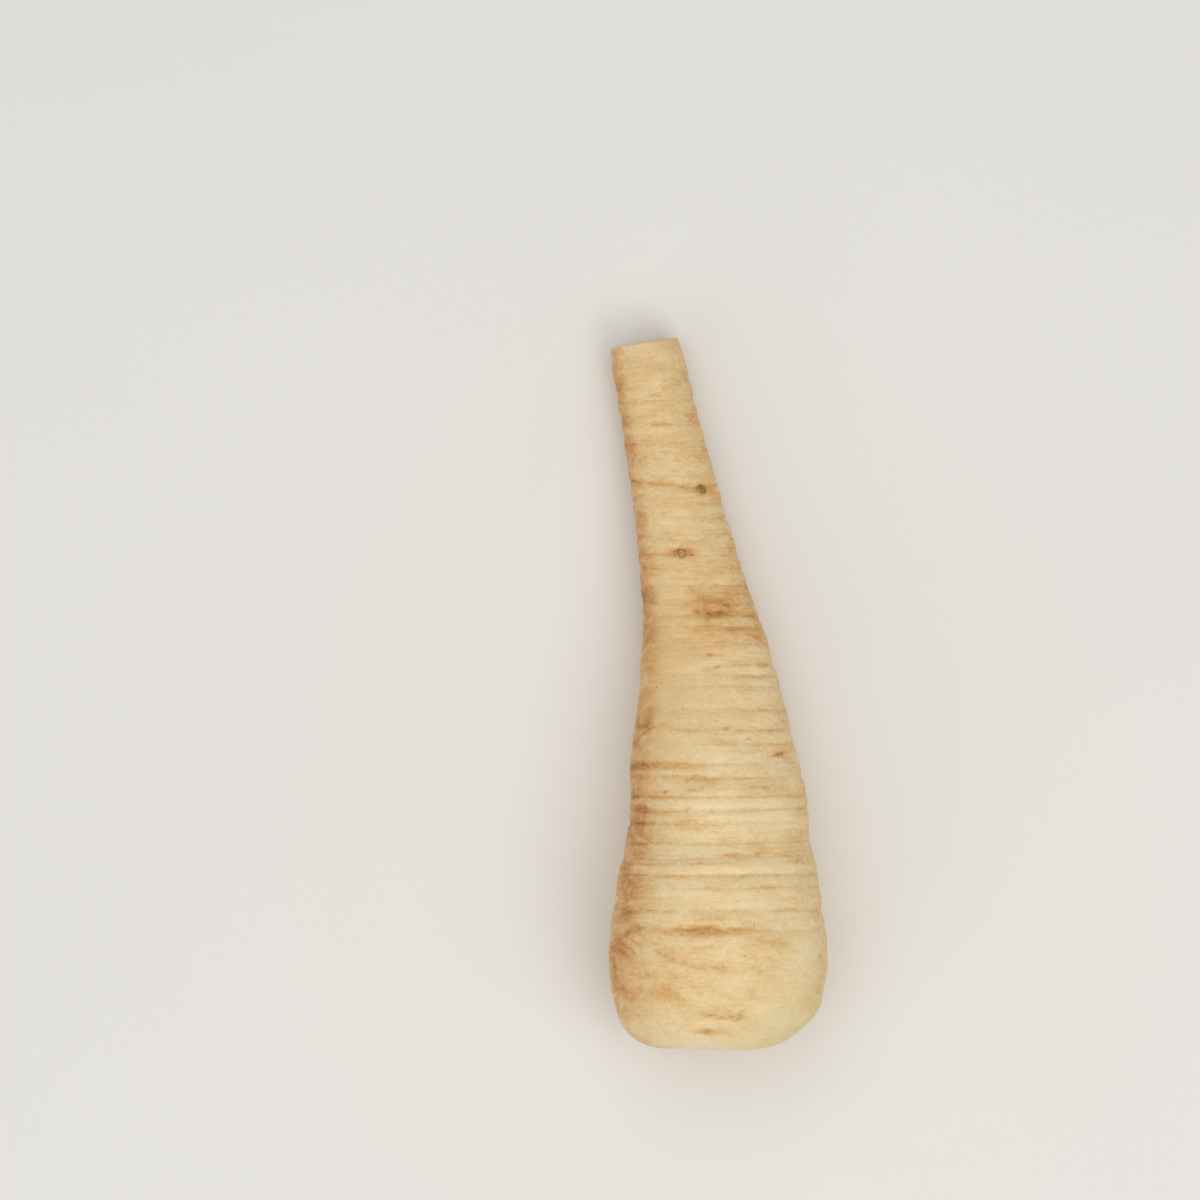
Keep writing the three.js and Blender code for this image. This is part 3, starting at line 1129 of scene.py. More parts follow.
@dataclass(frozen=True)
class FloorFinish:
    """A plain pale studio surface."""

    colour: Colour = paint(236, 234, 229)
    lighter: float = 1.03
    cloud: Texture = Texture(0.1, 2, 0.5)

    def material(self) -> bpy.types.Material:
        """The finish as a material.

        Returns:
            A material that needs nothing from the mesh.
        """
        sheet = NodeSheet("studio floor")
        cloud = sheet.noise(sheet.place(), self.cloud)
        lighter = tuple(self.lighter * part for part in self.colour)
        return sheet.dress(sheet.lay(cloud, self.colour, lighter), 0.8, 0.2)


# ---------------------------------------------------------------- sub-assemblies


@dataclass(frozen=True)
class Stain:
    """A soft mark with no relief: its place, its size round and along the root, its strength."""

    along: float
    degrees: float
    length: float
    height: float
    strength: float
    lean: float = 0.0  # how far it climbs along the root for each millimetre round it


@dataclass(frozen=True)
class Spot:
    """A mark given as the camera sees it: its pixel, its size in millimetres, its strength."""

    column: float
    row: float
    across: float
    height: float
    strength: float
    lean: float = 0.0  # how far it climbs along the root for each millimetre across
    streak_height: ClassVar[float] = 1.3  # pale marks up to this height are streaks
    line_height: ClassVar[float] = 0.4  # brown marks up to this height and from this length
    line_length: ClassVar[float] = 5.0  # are lines
    faint: ClassVar[float] = 0.6  # share of their strength that streaks and lines are laid with
    steepest: ClassVar[float] = 0.995  # how near a mark comes to the root's edge, as a share
    shortest: ClassVar[float] = 0.35  # how much a mark there seems shortened at most

    def laid_strength(self) -> float:
        """Makes streaks and lines fainter.

        Returns:
            The strength that the mark has on the skin.
        """
        line = self.height <= self.line_height and self.across >= self.line_length
        streak = self.height <= self.streak_height
        fine = line if self.strength > 0 else streak
        return self.strength * (self.faint if fine else 1)

    def on_skin(self, form: RootForm, place: Place) -> Stain:
        """The mark on the curved skin, as long as it has to be to look its size from above.

        Args:
            form: the root's shape.
            place: where the root lies.

        Returns:
            The same mark by its along and degrees.
        """
        x, along = place.under_pixel(self.column, self.row)
        out = (x - float(form.bend(along))) / float(form.half_width(along))
        turned = math.asin(max(-self.steepest, min(self.steepest, out)))
        seen = max(self.shortest, math.cos(turned))
        return Stain(
            along=along,
            degrees=math.degrees(turned),
            length=self.across / seen,
            height=self.height,
            strength=self.laid_strength(),
            lean=self.lean * seen,
        )


@dataclass(frozen=True)
class SkinMarks:
    """Where the skin is coloured: stains and tones on the open side, and scars on every side.

    The tables run from the crown's end to the tail. Marks that the camera can't show are given
    by their along and degrees. A tone with a strength below 0 is paler than the skin round it.
    """

    stains: tuple[Spot, ...] = rows_of(
        Spot,
        (711, 1032, 4.6, 0.8, 0.55, -0.06), (698, 1031.5, 1.6, 0.4, 0.3),
        (706, 1031, 1.3, 0.5, 0.8), (733, 1018, 1.5, 0.4, 0.6), (716, 1016, 6, 0.3, 0.85, -0.136),
        (739, 1016, 0.6, 0.8, 0.6), (707, 1014, 1.3, 0.35, 0.6), (734, 1014, 2.6, 1.1, 0.4),
        (741, 1011.5, 0.5, 0.9, 0.5), (731, 996, 3, 0.35, 0.35, -0.22), (752, 992, 0.6, 1.6, 0.4),
        (818, 989, 0.8, 1.2, 0.6), (616, 987, 1.4, 1.2, 0.7), (699, 985, 1.7, 0.5, 0.35),
        (805, 974, 1.2, 0.4, 0.3, 0.3), (613, 973, 1.4, 1.3, 0.6),
        (758, 970, 1.7, 0.5, 0.35, -0.35), (726, 969.5, 4.4, 0.24, 0.45, -0.1),
        (612, 968, 1.2, 0.5, 0.6), (712, 967, 3.2, 0.3, 0.55), (720, 966, 1.8, 0.9, 0.2),
        (678, 961, 4, 0.3, 0.6, -0.41), (820, 955, 0.5, 1, 0.45),
        (627, 954, 1.6, 0.24, 0.7, -0.9), (613, 949, 1.3, 1.3, 0.5),
        (629, 948, 1.8, 0.24, 1.1, -0.8), (640, 946, 2.3, 0.24, 0.6, -0.75),
        (611, 944, 1, 0.5, 0.7, -1), (778, 942, 2.5, 0.8, 0.3), (634, 940, 1.6, 0.24, 0.6, -0.6),
        (650, 940, 2, 0.25, 0.55, -0.5), (627, 933, 0.5, 0.7, 0.7), (770, 930, 5, 0.3, 0.25),
        (688, 929, 1.3, 0.3, 0.35), (703, 928.5, 9.5, 0.32, 0.95), (732, 927.5, 1.6, 0.3, 0.35),
        (636, 926.5, 1.8, 0.45, 0.7), (703, 925, 6.4, 1.5, 0.12), (694, 922, 2.2, 0.3, 0.3, 0.89),
        (720, 921, 3.4, 0.35, 0.2, -0.42), (640, 909.5, 4.8, 0.5, 0.6), (700, 909, 11, 0.3, 0.45),
        (785, 909, 3.4, 0.4, 0.55, 0.05), (795, 898, 4, 0.8, 0.4), (710, 888, 8, 0.35, 0.4),
        (768, 887, 2.4, 0.32, 0.6), (710, 886, 2.2, 0.5, 0.45), (628, 884, 1.6, 1, 0.4),
        (765, 884, 3, 0.9, 0.2), (711, 881, 1.8, 0.2, 0.6), (642, 875, 8, 0.3, 1.2),
        (738, 875, 4.6, 0.3, 0.25), (690, 874.5, 12, 0.3, 0.36), (768, 874.5, 3.2, 0.3, 0.6),
        (745, 873, 4, 0.8, 0.2), (642, 863.5, 7, 0.3, 1), (695, 863.5, 2.4, 0.35, 0.3),
        (740, 863, 14, 0.3, 0.4), (795, 861, 2.6, 0.8, 0.5), (680, 855, 8, 0.35, 0.4),
        (728, 855, 2.8, 0.3, 0.75), (638, 854, 4, 0.9, 0.5), (765, 853, 6, 0.5, 0.3),
        (642, 843.5, 8, 0.3, 1.1), (700, 843, 20, 0.28, 0.46), (725, 839, 2.2, 1, 0.35),
        (640, 822, 4.5, 0.6, 0.5), (760, 822, 8, 0.4, 0.25), (688, 820.5, 3, 0.5, 0.5),
        (655, 810, 5, 0.35, 0.3), (687, 810, 0.6, 0.3, 0.8), (703, 810, 0.4, 0.3, 0.7),
        (711, 810, 0.5, 0.3, 1.1), (636, 809.5, 3.6, 0.42, 0.5), (760, 809, 9, 0.3, 0.35),
        (642, 796.5, 8, 0.3, 0.85), (725, 796.5, 20, 0.28, 0.45), (797, 796.5, 2, 0.4, 0.6),
        (666, 792, 0.4, 0.3, 1.7), (694, 790, 1.6, 0.4, 0.7), (703, 788, 0.4, 0.3, 0.8),
        (752, 787, 5, 0.6, 0.35), (687, 781, 0.4, 0.35, 1.2), (735, 779, 6, 0.9, 0.35),
        (640, 777, 4, 0.5, 0.25), (670, 777, 9, 0.35, 0.55), (697, 777, 3.8, 0.5, 0.5),
        (636, 766, 2.4, 1, 0.4), (646, 765, 8, 0.8, 0.75), (779, 757, 1.8, 0.3, 0.6),
        (782, 754, 1.8, 0.45, 1.3, 0.25), (762, 752, 6, 0.28, 0.55), (740, 744, 11, 0.25, 0.6),
        (716, 740, 1.6, 0.6, 0.4), (748, 738, 0.4, 0.3, 1.1), (643, 735, 1.6, 0.4, 0.8, 0.9),
        (690, 730, 4, 0.4, 0.5, -0.05), (755, 729, 7, 0.28, 1), (726, 728.5, 0.8, 0.35, 1.3),
        (670, 727, 4, 0.6, 0.35, -0.25), (649, 724, 0.6, 2.2, 0.7), (760, 711, 5, 0.5, 0.4),
        (755, 689, 4, 0.6, 0.35), (757, 677, 4, 0.28, 0.7), (708, 669, 1.4, 0.4, 0.6),
        (718, 667, 0.7, 0.35, 1.4), (763, 666, 1.2, 0.3, 0.9), (755, 665, 4.4, 0.28, 0.75),
        (712, 655.5, 2.2, 0.35, 0.6), (710, 655, 0.5, 0.35, 1.5), (750, 646, 3, 0.5, 0.4),
        (755, 637, 1.2, 0.7, 0.5), (742, 629, 3.6, 0.28, 0.45), (690, 617, 1.6, 0.5, 0.35),
        (746, 616, 2.6, 0.28, 0.6), (722, 614, 0.9, 0.4, 0.55), (698, 613.5, 0.9, 0.7, 0.6),
        (712, 613.5, 2.4, 0.25, 0.4), (726, 611, 1.4, 1.2, 0.45, 0.3), (731, 608, 1.2, 0.8, 0.25),
        (706, 605, 6, 2.2, 0.4), (742, 605, 3, 0.35, 0.45), (643, 600, 0.8, 2, 0.5),
        (650, 595, 1.6, 1.6, 0.6),
    )
    more_stains: tuple[Stain, ...] = rows_of(
        Stain,
        (72, 124, 3.2, 1.2, 1.1), (104.5, -8, 2.2, 0.75, 0.95), (104.6, -14, 4.4, 0.35, 0.5),
        (110, 238, 2.4, 0.9, 1.1), (112.5, -60, 2.4, 0.9, 0.5), (118, 28, 4.2, 0.4, 0.45),
        (118, 40, 2, 0.8, 0.7), (124, -48, 2.6, 0.5, 0.45), (127, 166, 2.2, 0.9, 1),
        (131.5, 4, 3.2, 0.4, 0.5), (139, -40, 3, 0.6, 0.5),
    )
    # The paler tones at the crown's end (700, 1045), its corners (628, 1022) and (790, 1020) and
    # the +X edge (808, 960) are painted light; the darker ones along the -X edge, columns 625 to
    # 650, are painted shade, and those at (700, 604) and (728, 598) a painted shadow.
    tones: tuple[Spot, ...] = rows_of(
        Spot,
        (700, 1045, 14, 2, -0.4), (628, 1022, 5, 3, -0.35), (790, 1020, 6, 3, -0.5),
        (700, 1012, 10, 5, 0.16), (645, 1008, 3.5, 3, 0.4, -0.5), (760, 1008, 2, 1.4, -0.3),
        (752, 986, 3.5, 3, 0.35), (655, 985, 4, 3, 0.3), (660, 985, 6, 1.5, 0.55, -0.7),
        (705, 985, 3, 2, 0.3), (735, 980, 5, 2.4, -0.3), (672, 972, 4, 1, 0.4, -0.6),
        (625, 965, 4, 9, 0.35), (715, 965, 16, 12, 0.15), (780, 960, 6, 5, 0.12),
        (808, 960, 3, 8, -0.4), (668, 955, 5, 1.2, 0.5, -0.45), (702, 945, 6, 3, 0.24),
        (730, 945, 3, 4, -0.4), (775, 942, 4, 1.4, 0.2), (650, 915, 3, 1.2, -0.3),
        (790, 915, 5, 1.2, -0.5), (757, 906, 6, 2.5, -0.2), (642, 905, 5, 6, 0.35),
        (730, 904, 14, 0.8, -0.35), (710, 894, 12, 1, -0.5), (750, 886, 8, 5, -0.25),
        (750, 880, 7, 0.6, -0.3), (720, 868.5, 18, 0.8, -0.5), (690, 858.5, 9, 0.45, -0.4),
        (636, 850, 5, 16, 0.4), (700, 848, 10, 0.7, -0.4), (740, 835, 10, 0.7, -0.25),
        (720, 827, 18, 0.6, -0.4), (690, 826, 7, 2.6, 0.24), (665, 817, 6, 0.6, 0.2),
        (730, 815, 14, 0.7, -0.3), (720, 804, 18, 1, -0.5), (730, 787, 12, 1.2, 0.3),
        (680, 785, 7, 0.8, -0.3), (670, 771, 7, 0.5, -0.3), (722, 768, 6, 2, -0.3),
        (696, 767, 8, 2.2, 0.3), (634, 765, 2.4, 10, 0.3), (715, 756, 10, 0.9, -0.45),
        (735, 748, 9, 0.6, -0.45), (760, 737, 6, 0.8, -0.35), (645, 722, 2.4, 3, 0.5),
        (760, 720, 5, 1.3, -0.45), (690, 708, 8, 4, 0.1), (755, 702, 5, 1.2, -0.3),
        (757, 683, 4, 0.8, -0.5), (755, 671, 4, 0.8, -0.5), (680, 660, 8, 5, 0.1),
        (745, 657, 4, 1.2, -0.35), (715, 646, 4, 3, 0.3), (650, 640, 3, 6, 0.5),
        (700, 640, 7, 4, 0.25), (714, 625, 5, 1.8, 0.42), (745, 622, 3, 0.9, -0.45),
        (745, 611, 3, 0.7, -0.4), (700, 604, 8, 4, 0.3), (680, 602, 5, 4, -0.15),
        (728, 598, 4, 5, 0.3),
    )
    # Rust on the scars; the mark at (640, 822), on the -X edge, is painted shade.
    rusts_and_shades: tuple[Spot, ...] = rows_of(
        Spot,
        (707, 1031, 1.6, 0.6, 0.4), (733, 1018, 1.6, 0.6, 0.4), (708, 1014, 1.5, 0.5, 0.35),
        (614, 952, 2, 3, 0.5), (703, 927, 8, 0.8, 0.4), (711, 881, 1.5, 0.4, 0.6),
        (728, 855, 2, 0.4, 0.5), (640, 822, 3, 8, 0.3), (782, 754, 1.6, 0.5, 0.5),
        (738, 608, 5, 2.4, 0.2),
    )
    more_rusts: tuple[Stain, ...] = rows_of(
        Stain,
        (104.5, -8, 2.4, 1, 0.4), (118, 40, 2, 0.9, 0.35),
    )
    edge_from: float = 0.62  # painted shade towards the two sides: where from,
    edge_shades: tuple[float, float] = (0.65, 0.3)  # and how much at -X and at +X
    tail_tone: float = 0.3  # how much darker the narrow half is,
    tail_from: tuple[float, float] = (62.0, 98.0)  # and where it darkens
    speck_gain: float = 1.1  # how fast dark specks gather in stains that are stronger
    speck_from: float = 0.2  # than this
    hidden_lines: int = 3  # in each ring
    hidden_seed: int = 61
    scar_height: float = 0.4
    halo_height: float = 1.2
    halo_strength: float = 0.4
    wander: float = 0.15  # how far the marks' edges stray, in millimetres
    waver: Ripple = Ripple(seed=41, along_waves=(1.5, 5.0), around_waves=22)

    def hidden(self, rings: Sequence[Ring]) -> list[Stain]:
        """Brown lines in the rings of the sides that face away from above.

        Args:
            rings: every ring of the root.

        Returns:
            The lines, a few in each ring.
        """
        draw = draws(self.hidden_seed)
        return [
            Stain(
                along=ring.at + next(draw) - 0.5,
                degrees=mix(106, 254, next(draw)),
                length=mix(3, 11, next(draw)),
                height=mix(0.22, 0.5, next(draw)),
                strength=mix(0.25, 0.9, next(draw)),
            )
            for ring in rings
            for _ in range(self.hidden_lines)
        ]

    @staticmethod
    def laid(marks: Sequence[Stain], radius: Array, along: Array, around: Array) -> Array:
        """Lays many soft marks on the skin.

        Args:
            marks: the marks.
            radius: the root's half width at each point.
            along: where each point lies.
            around: its angle.

        Returns:
            The sum of their strengths at each point.
        """
        total = np.zeros(along.shape)
        for mark in marks:
            across = radius * angle_between(around, math.radians(mark.degrees))
            off = along - mark.along - mark.lean * across
            total += mark.strength * bell(across / mark.length) * bell(off / mark.height)
        return total

    def masks(self, form: RootForm, place: Place, along: Array, around: Array) -> Values:
        """How strongly each kind of mark shows at each point.

        Args:
            form: the root's shape.
            place: where the root lies.
            along: the points' distances from the crown's end.
            around: their angles.

        Returns:
            The masks of the scars' cores, stains, dots, tones with painted light and shade, and
            rust with painted shade, from 0 to a little over 1.
        """
        core = np.zeros(along.shape)
        halo = np.zeros(along.shape)
        wander = self.wander * self.waver(along, around)
        radius = form.half_width(along)
        for scar in form.scars.scars():
            off = along - scar.along + wander
            across = radius * angle_between(around, math.radians(scar.degrees))
            strength = scar.strength**1.5
            core += strength * bell((2 * across / scar.length) ** 2) * bell(off / self.scar_height)
            around_it = bell(1.7 * across / scar.length) * bell(off / self.halo_height)
            halo += self.halo_strength * strength * around_it
        stains, tones, rusts_and_shades = (
            [spot.on_skin(form, place) for spot in spots]
            for spots in (self.stains, self.tones, self.rusts_and_shades)
        )
        stains += [*self.more_stains, *self.hidden(form.rings.rings())]
        stain = halo + self.laid(stains, radius, along + wander, around)
        tone = self.laid(tones, radius, along, around)
        rusty_and_shaded = self.laid([*rusts_and_shades, *self.more_rusts], radius, along, around)
        # Painted shade: the skin darkens towards both sides, most at -X.
        for side, edge_shade in zip((-1, 1), self.edge_shades):
            tone += edge_shade * smoothstep(self.edge_from, 1, side * np.sin(around))
        tone += self.tail_tone * smoothstep(*self.tail_from, along)
        strong = np.maximum(stain - self.speck_from, 0)
        dots = np.clip(core + self.speck_gain * strong, 0, 1)
        return {"scar_core": core, "stain": stain, "dots": dots, "tone": tone, "rust": rusty_and_shaded}


@dataclass
class Assembly:
    """A sub-assembly of the root, made as one piece of lofted parts."""

    form: RootForm
    place: Place

    def joined(self, name: str, finish: bpy.types.Material,
               parts: Iterable[tuple[Array, Values]]) -> bpy.types.Object:
        """Lofts parts that share one finish and joins them.

        Args:
            name: the piece's name.
            finish: its material.
            parts: rows of points in millimetres, with the values stored at them.

        Returns:
            The piece, riding on the root's body.
        """
        sheet = MeshSheet()
        for points, values in parts:
            sheet.loft(self.place.metres(points), values)
        return attach(sheet.to_object(name, [finish]))


@dataclass
class RootSkin(Assembly):
    """The whole root as one closed skin: hollow crown, shoulders, body and cut tail."""

    marks: SkinMarks = SkinMarks()
    sides: int = 200
    hollow_rows: int = 34
    shoulder_rows: int = 40
    row_gap: float = 0.34
    far_gap: float = 0.5  # between rows in the tail's last third
    far_from: float = 100.0
    gather: float = 0.35  # how much closer the points lie on the open side than on average
    cut_rows: int = 14
    edge: float = 0.35  # rounding of the tail's cut edge
    line_width: float = 0.24  # half width of the brown lines in the rings
    line_band: float = 1.3  # how far their colour reaches beside them
    calm: float = 0.2  # share of the body's fine banding that the shoulder has,
    calm_until: tuple[float, float] = (20.0, 29.0)  # and where that changes
    dark_reach: float = 2.5  # how far the darkening reaches past the hollow's rim
    even_at: tuple[float, float] = (82.0, -38.0)  # along and degrees of the evenly coloured area
    even_reach: tuple[float, float] = (22.0, 50.0)
    even_fade: float = 0.5
    slit: float = 0.1  # how much deeper the scars are than in the solid
    dimple: float = 0.1  # height of the dimples
    fold: tuple[float, float] = (0.01, 0.02)  # of the folds at the crown, and what the body adds
    wrinkle: tuple[float, float] = (0.005, 0.01)  # the same of the wrinkles
    dome: float = 0.35  # how far the cut flesh swells in the middle of the tail's end,
    core_groove: float = 0.3  # and how far it has shrunk in a ring round the core
    side_shade: float = 0.4  # how much painted shade the -X side and the underside have
    green: float = 0.6  # how green the shoulder is at most
    green_at: tuple[float, float] = (7.0, 45.0)  # along and degrees of its greenish part
    green_reach: tuple[float, float] = (9.0, 0.7)  # its reach in millimetres and radians
    dimples: Ripple = Ripple(seed=3, along_waves=(0.3, 1.4), around_waves=7)
    folds: Ripple = Ripple(seed=4, along_waves=(1.2, 4.0), around_waves=6)
    wrinkles: Ripple = Ripple(seed=5, along_waves=(4.0, 8.5), around_waves=5)

    def rounding(self, ring_at: Array) -> Array:
        """Share of the radius left where the edge of the tail's cut is rounded."""
        t = np.clip((ring_at - self.form.length + self.edge) / self.edge, 0, 1)
        return 1 - self.edge / self.form.half_width(self.form.length) * (1 - np.sqrt(1 - t * t))

    def fine_relief(self, ring_at: Array, around: Array) -> Array:
        """Dimples, folds and wrinkles too fine for the solid.

        Args:
            ring_at: the ring that each point lies on.
            around: its angle.

        Returns:
            Their height in millimetres.
        """
        form = self.form
        open_skin = form.free_of_ends(ring_at, around)
        body = smoothstep(18, 30, ring_at)
        height = self.dimple * self.dimples(ring_at, around)
        height += (self.fold[0] + self.fold[1] * body) * self.folds(ring_at, around)
        height += (self.wrinkle[0] + self.wrinkle[1] * body) * self.wrinkles(ring_at, around)
        along = form.along(ring_at, around)
        slit = self.marks.masks(form, self.place, along, around)["scar_core"]
        return open_skin * (height - self.slit * slit)

    def hollow_part(self, around: Array) -> tuple[Array, Array]:
        """The crown's hollow, with faint rings of old leaf scars near its rim.

        Args:
            around: the angles of a row's points.

        Returns:
            The points in millimetres, and the radius at each.
        """
        rim = self.form.crown_rim
        radius = rim * np.linspace(0.03, 1, self.hollow_rows, endpoint=False)[:, None]
        radius = radius + 0 * around
        points = self.form.points(0 * radius, around, radius / rim)
        old_scars = np.sin(5.2 * radius + 1.5 * np.sin(3 * around) + 0.8 * np.sin(7 * around))
        fade = smoothstep(4.5, 7.0, radius) * (1 - smoothstep(rim - 0.8, rim, radius))
        points[..., 1] += self.form.hollow_dip(radius) - 0.16 * fade * old_scars
        return points, radius

    def row_places(self) -> Array:
        """The rings that the skin's rows follow: three in every groove, and even steps between.

        Returns:
            The rows' distances along the root, from the crown's rim to the tail's cut.
        """
        form = self.form
        grooves = np.array([ring.at for ring in form.rings.rings()])
        last = form.length - self.edge
        fixed = [grooves - 0.8 * self.line_width, grooves, grooves + 0.8 * self.line_width]
        fixed = np.sort(np.concatenate([[form.shoulder, last], *fixed]))
        turn = np.linspace(0, TURN / 4, self.shoulder_rows, endpoint=False)
        rows = [form.shoulder * (1 - np.cos(turn))]
        for low, high in zip(fixed, fixed[1:]):
            gap = self.row_gap if low < self.far_from else self.far_gap
            rows.append(np.linspace(low, high, math.ceil((high - low) / gap), endpoint=False))
        edge_at = form.length - self.edge * np.array([1.0, 0.7, 0.4, 0.15, 0.0])
        return np.concatenate([*rows, edge_at])

    def build(self) -> bpy.types.Object:
        """Makes the skin, with the values that its finishes read.

        Returns:
            The piece, riding on the root's body.
        """
        form = self.form
        around = np.linspace(0, TURN, self.sides, endpoint=False)[None, :]
        around = around - self.gather * np.sin(around)
        hollow, hollow_radius = self.hollow_part(around)
        crown = 0 * hollow_radius

        ring_at = self.row_places()[:, None] + 0 * around
        fine = self.fine_relief(ring_at, around)
        body = form.points(ring_at, around, self.rounding(ring_at), fine)
        body_along = form.along(ring_at, around)

        inner = self.rounding(np.array(form.length))
        share = (inner * np.linspace(1, 0.03, self.cut_rows + 1)[1:])[:, None] + 0 * around
        end = form.length + 0 * share
        cut = form.points(end, around, share)
        cut[..., 1] += self.dome * smoothstep(0.5, 0.0, share)
        cut[..., 1] -= self.core_groove * bell((share - 0.5) / 0.08)

        along = np.concatenate([crown, body_along, end])
        radius = np.concatenate([hollow_radius, form.half_width(body_along), 0 * share])
        rings = np.concatenate([crown, ring_at, end])
        values = self.values(along, rings, around + 0 * along, radius)
        values["share"] = np.concatenate([1 + crown, 1 + 0 * ring_at, share])

        rows = np.concatenate([hollow, body, cut])
        finishes = [0] * (len(rows) - self.cut_rows - 1) + [1] * (self.cut_rows + 1)
        sheet = MeshSheet()
        sheet.loft(self.place.metres(rows), values, finishes)
        materials = [SkinFinish().material(), CutFinish().material()]
        return attach(sheet.to_object("root_skin", materials))

    def values(self, along: Array, ring_at: Array, around: Array, radius: Array) -> Values:
        """The numbers that the skin's finish reads.

        Args:
            along: each point's distance from the crown's end.
            ring_at: the ring that it lies on.
            around: its angle.
            radius: the root's radius there.

        Returns:
            The numbers at the points, by name.
        """
        form = self.form
        values = self.marks.masks(form, self.place, along, around)
        values["ring_at"] = ring_at / 10  # in centimetres
        lines = form.rings.line(ring_at, around, self.line_width, self.line_band)
        values["ring_line"] = lines * form.free_of_ends(along, around)
        body = smoothstep(*self.calm_until, along)
        values["banding"] = mix(self.calm, 1, body) * form.rings.left(ring_at, around)
        values["busy"] = 1 - self.even_fade * patch(self.even_at, self.even_reach, along, around)
        plain_from = form.crown_rim + self.dark_reach
        hollow_dark = 1 - smoothstep(form.hollow_floor, plain_from, radius)
        values["hollow"] = (along < 1) * hollow_dark
        # Painted shade on the -X side and underneath, laid with the rust colour.
        side = 0.8 * smoothstep(0.6, 1.0, -np.sin(around))
        below = 0.6 * smoothstep(0.3, 1.0, -np.cos(around))
        rust = np.clip(side + below, 0, 1) * smoothstep(1, 8, along)
        values["rust"] += self.side_shade * rust
        off = (along - self.green_at[0]) / self.green_reach[0]
        turned = angle_between(around, math.radians(self.green_at[1])) / self.green_reach[1]
        values["green"] = self.green * bell(off) * bell(turned)
        values["ray_x"] = np.sin(around)
        values["ray_z"] = np.cos(around)
        return values


@dataclass
class LeafStalks(Assembly):
    """The cut leaf stalks, each a curved sheath set spirally in the hollow round a bud."""

    count: int = 9
    turn: float = 137.5  # degrees from one stalk to the next
    inner: float = 1.5
    step: float = 0.6
    thick: float = 1.4
    narrow: float = 32
    wide: float = 80
    short: float = 1.5
    tall: float = 2.4
    slant: float = 0.08
    sunk: float = 1.5
    seed: int = 5
    spread: float = 0.1  # how far a stalk leans outwards for each millimetre of height
    dish: float = 0.45  # how far the dried top has sunk in its middle
    lengthwise: int = 30
    upright: int = 9
    crosswise: int = 9
    bud_radius: float = 1.3
    bud_height: float = 2.0

    def point(self, around: Array, radius: Array, level: Array) -> Array:
        """Points over the floor of the hollow.

        Args:
            around: each point's angle.
            radius: how far it is from the middle.
            level: how far it is above the floor.

        Returns:
            The points in millimetres.
        """
        points = self.form.points(0 * around, around, radius / self.form.crown_rim)
        tilt = self.slant * radius * np.cos(around) * (level > 0)
        points[..., 1] = self.form.hollow_depth - level - tilt
        return points

    def sheath(self, i: int, draw: Iterator[float]) -> tuple[Array, Values]:
        """One stalk as rows across its sheath.

        Args:
            i: its number, from the middle outwards.
            draw: the random draws that all stalks share.

        Returns:
            Its rows of points in millimetres, and the values at them.
        """
        reach = math.radians(mix(self.wide, self.narrow, i / (self.count - 1)))
        reach *= mix(0.85, 1.15, next(draw))
        facing = math.radians(self.turn * i)
        height = mix(self.short, self.tall, next(draw))
        up = np.linspace(0, 1, self.upright)
        over = np.linspace(1, 0, self.crosswise + 2)[1:-1]
        width = np.concatenate([1 + 0 * up, over, 0 * up])[None, :]
        rise = np.concatenate([up, 1 + 0 * over, up[::-1]])[None, :]
        t = np.linspace(-1, 1, self.lengthwise)[:, None]
        top = height + 0.18 * np.sin(5 * t + i) + 0.1 * np.sin(17 * t + 2 * i)
        level = -self.sunk + (top + self.sunk) * rise
        level = level - self.dish * (rise >= 1) * (1 - (2 * width - 1) ** 2) * (1 - 0.8 * t * t)
        bulge = 0.12 * np.sin(math.pi * rise) * (2 * width - 1)
        radius = self.inner + self.step * i + width * self.thick * (1 - 0.8 * t * t)
        bulge = bulge + 0.05 * np.sin(9 * t + 4 * rise)
        radius = radius + bulge + self.spread * np.maximum(level, 0)
        around = facing + reach * t + 0 * radius
        tip = np.clip(level / top, 0, 1)
        rim = (rise >= 1) * np.abs(2 * width - 1) ** 4 + 0 * t
        return self.point(around, radius, level), {"tip": tip, "rim": rim}

    def bud(self) -> tuple[Array, Values]:
        """The bud in the middle, a small pointed dome with folded tips.

        Returns:
            Its rows of points in millimetres, and the values at them.
        """
        level = np.array([-0.8, 0, 0.2, 0.4, 0.6, 0.75, 0.88, 0.96, 1.0])[:, None]
        around = -np.linspace(0, TURN, 24, endpoint=False)[None, :]
        radius = self.bud_radius * np.sqrt(1 - np.clip(level, 0, 0.99) ** 2)
        folded = radius * (1 + 0.16 * np.clip(level, 0, 1) * np.sin(3 * around))
        tip = np.clip(0.55 * level, 0, 1) + 0 * around
        points = self.point(around + 0 * folded, folded, level * self.bud_height + 0 * folded)
        return points, {"tip": tip, "rim": 0 * tip}

    def build(self) -> bpy.types.Object:
        """Makes all the stalks and the bud as one piece.

        Returns:
            The piece.
        """
        draw = draws(self.seed)
        parts = [self.bud(), *(self.sheath(i, draw) for i in range(self.count))]
        return self.joined("leaf_stalks", StalkFinish().material(), parts)


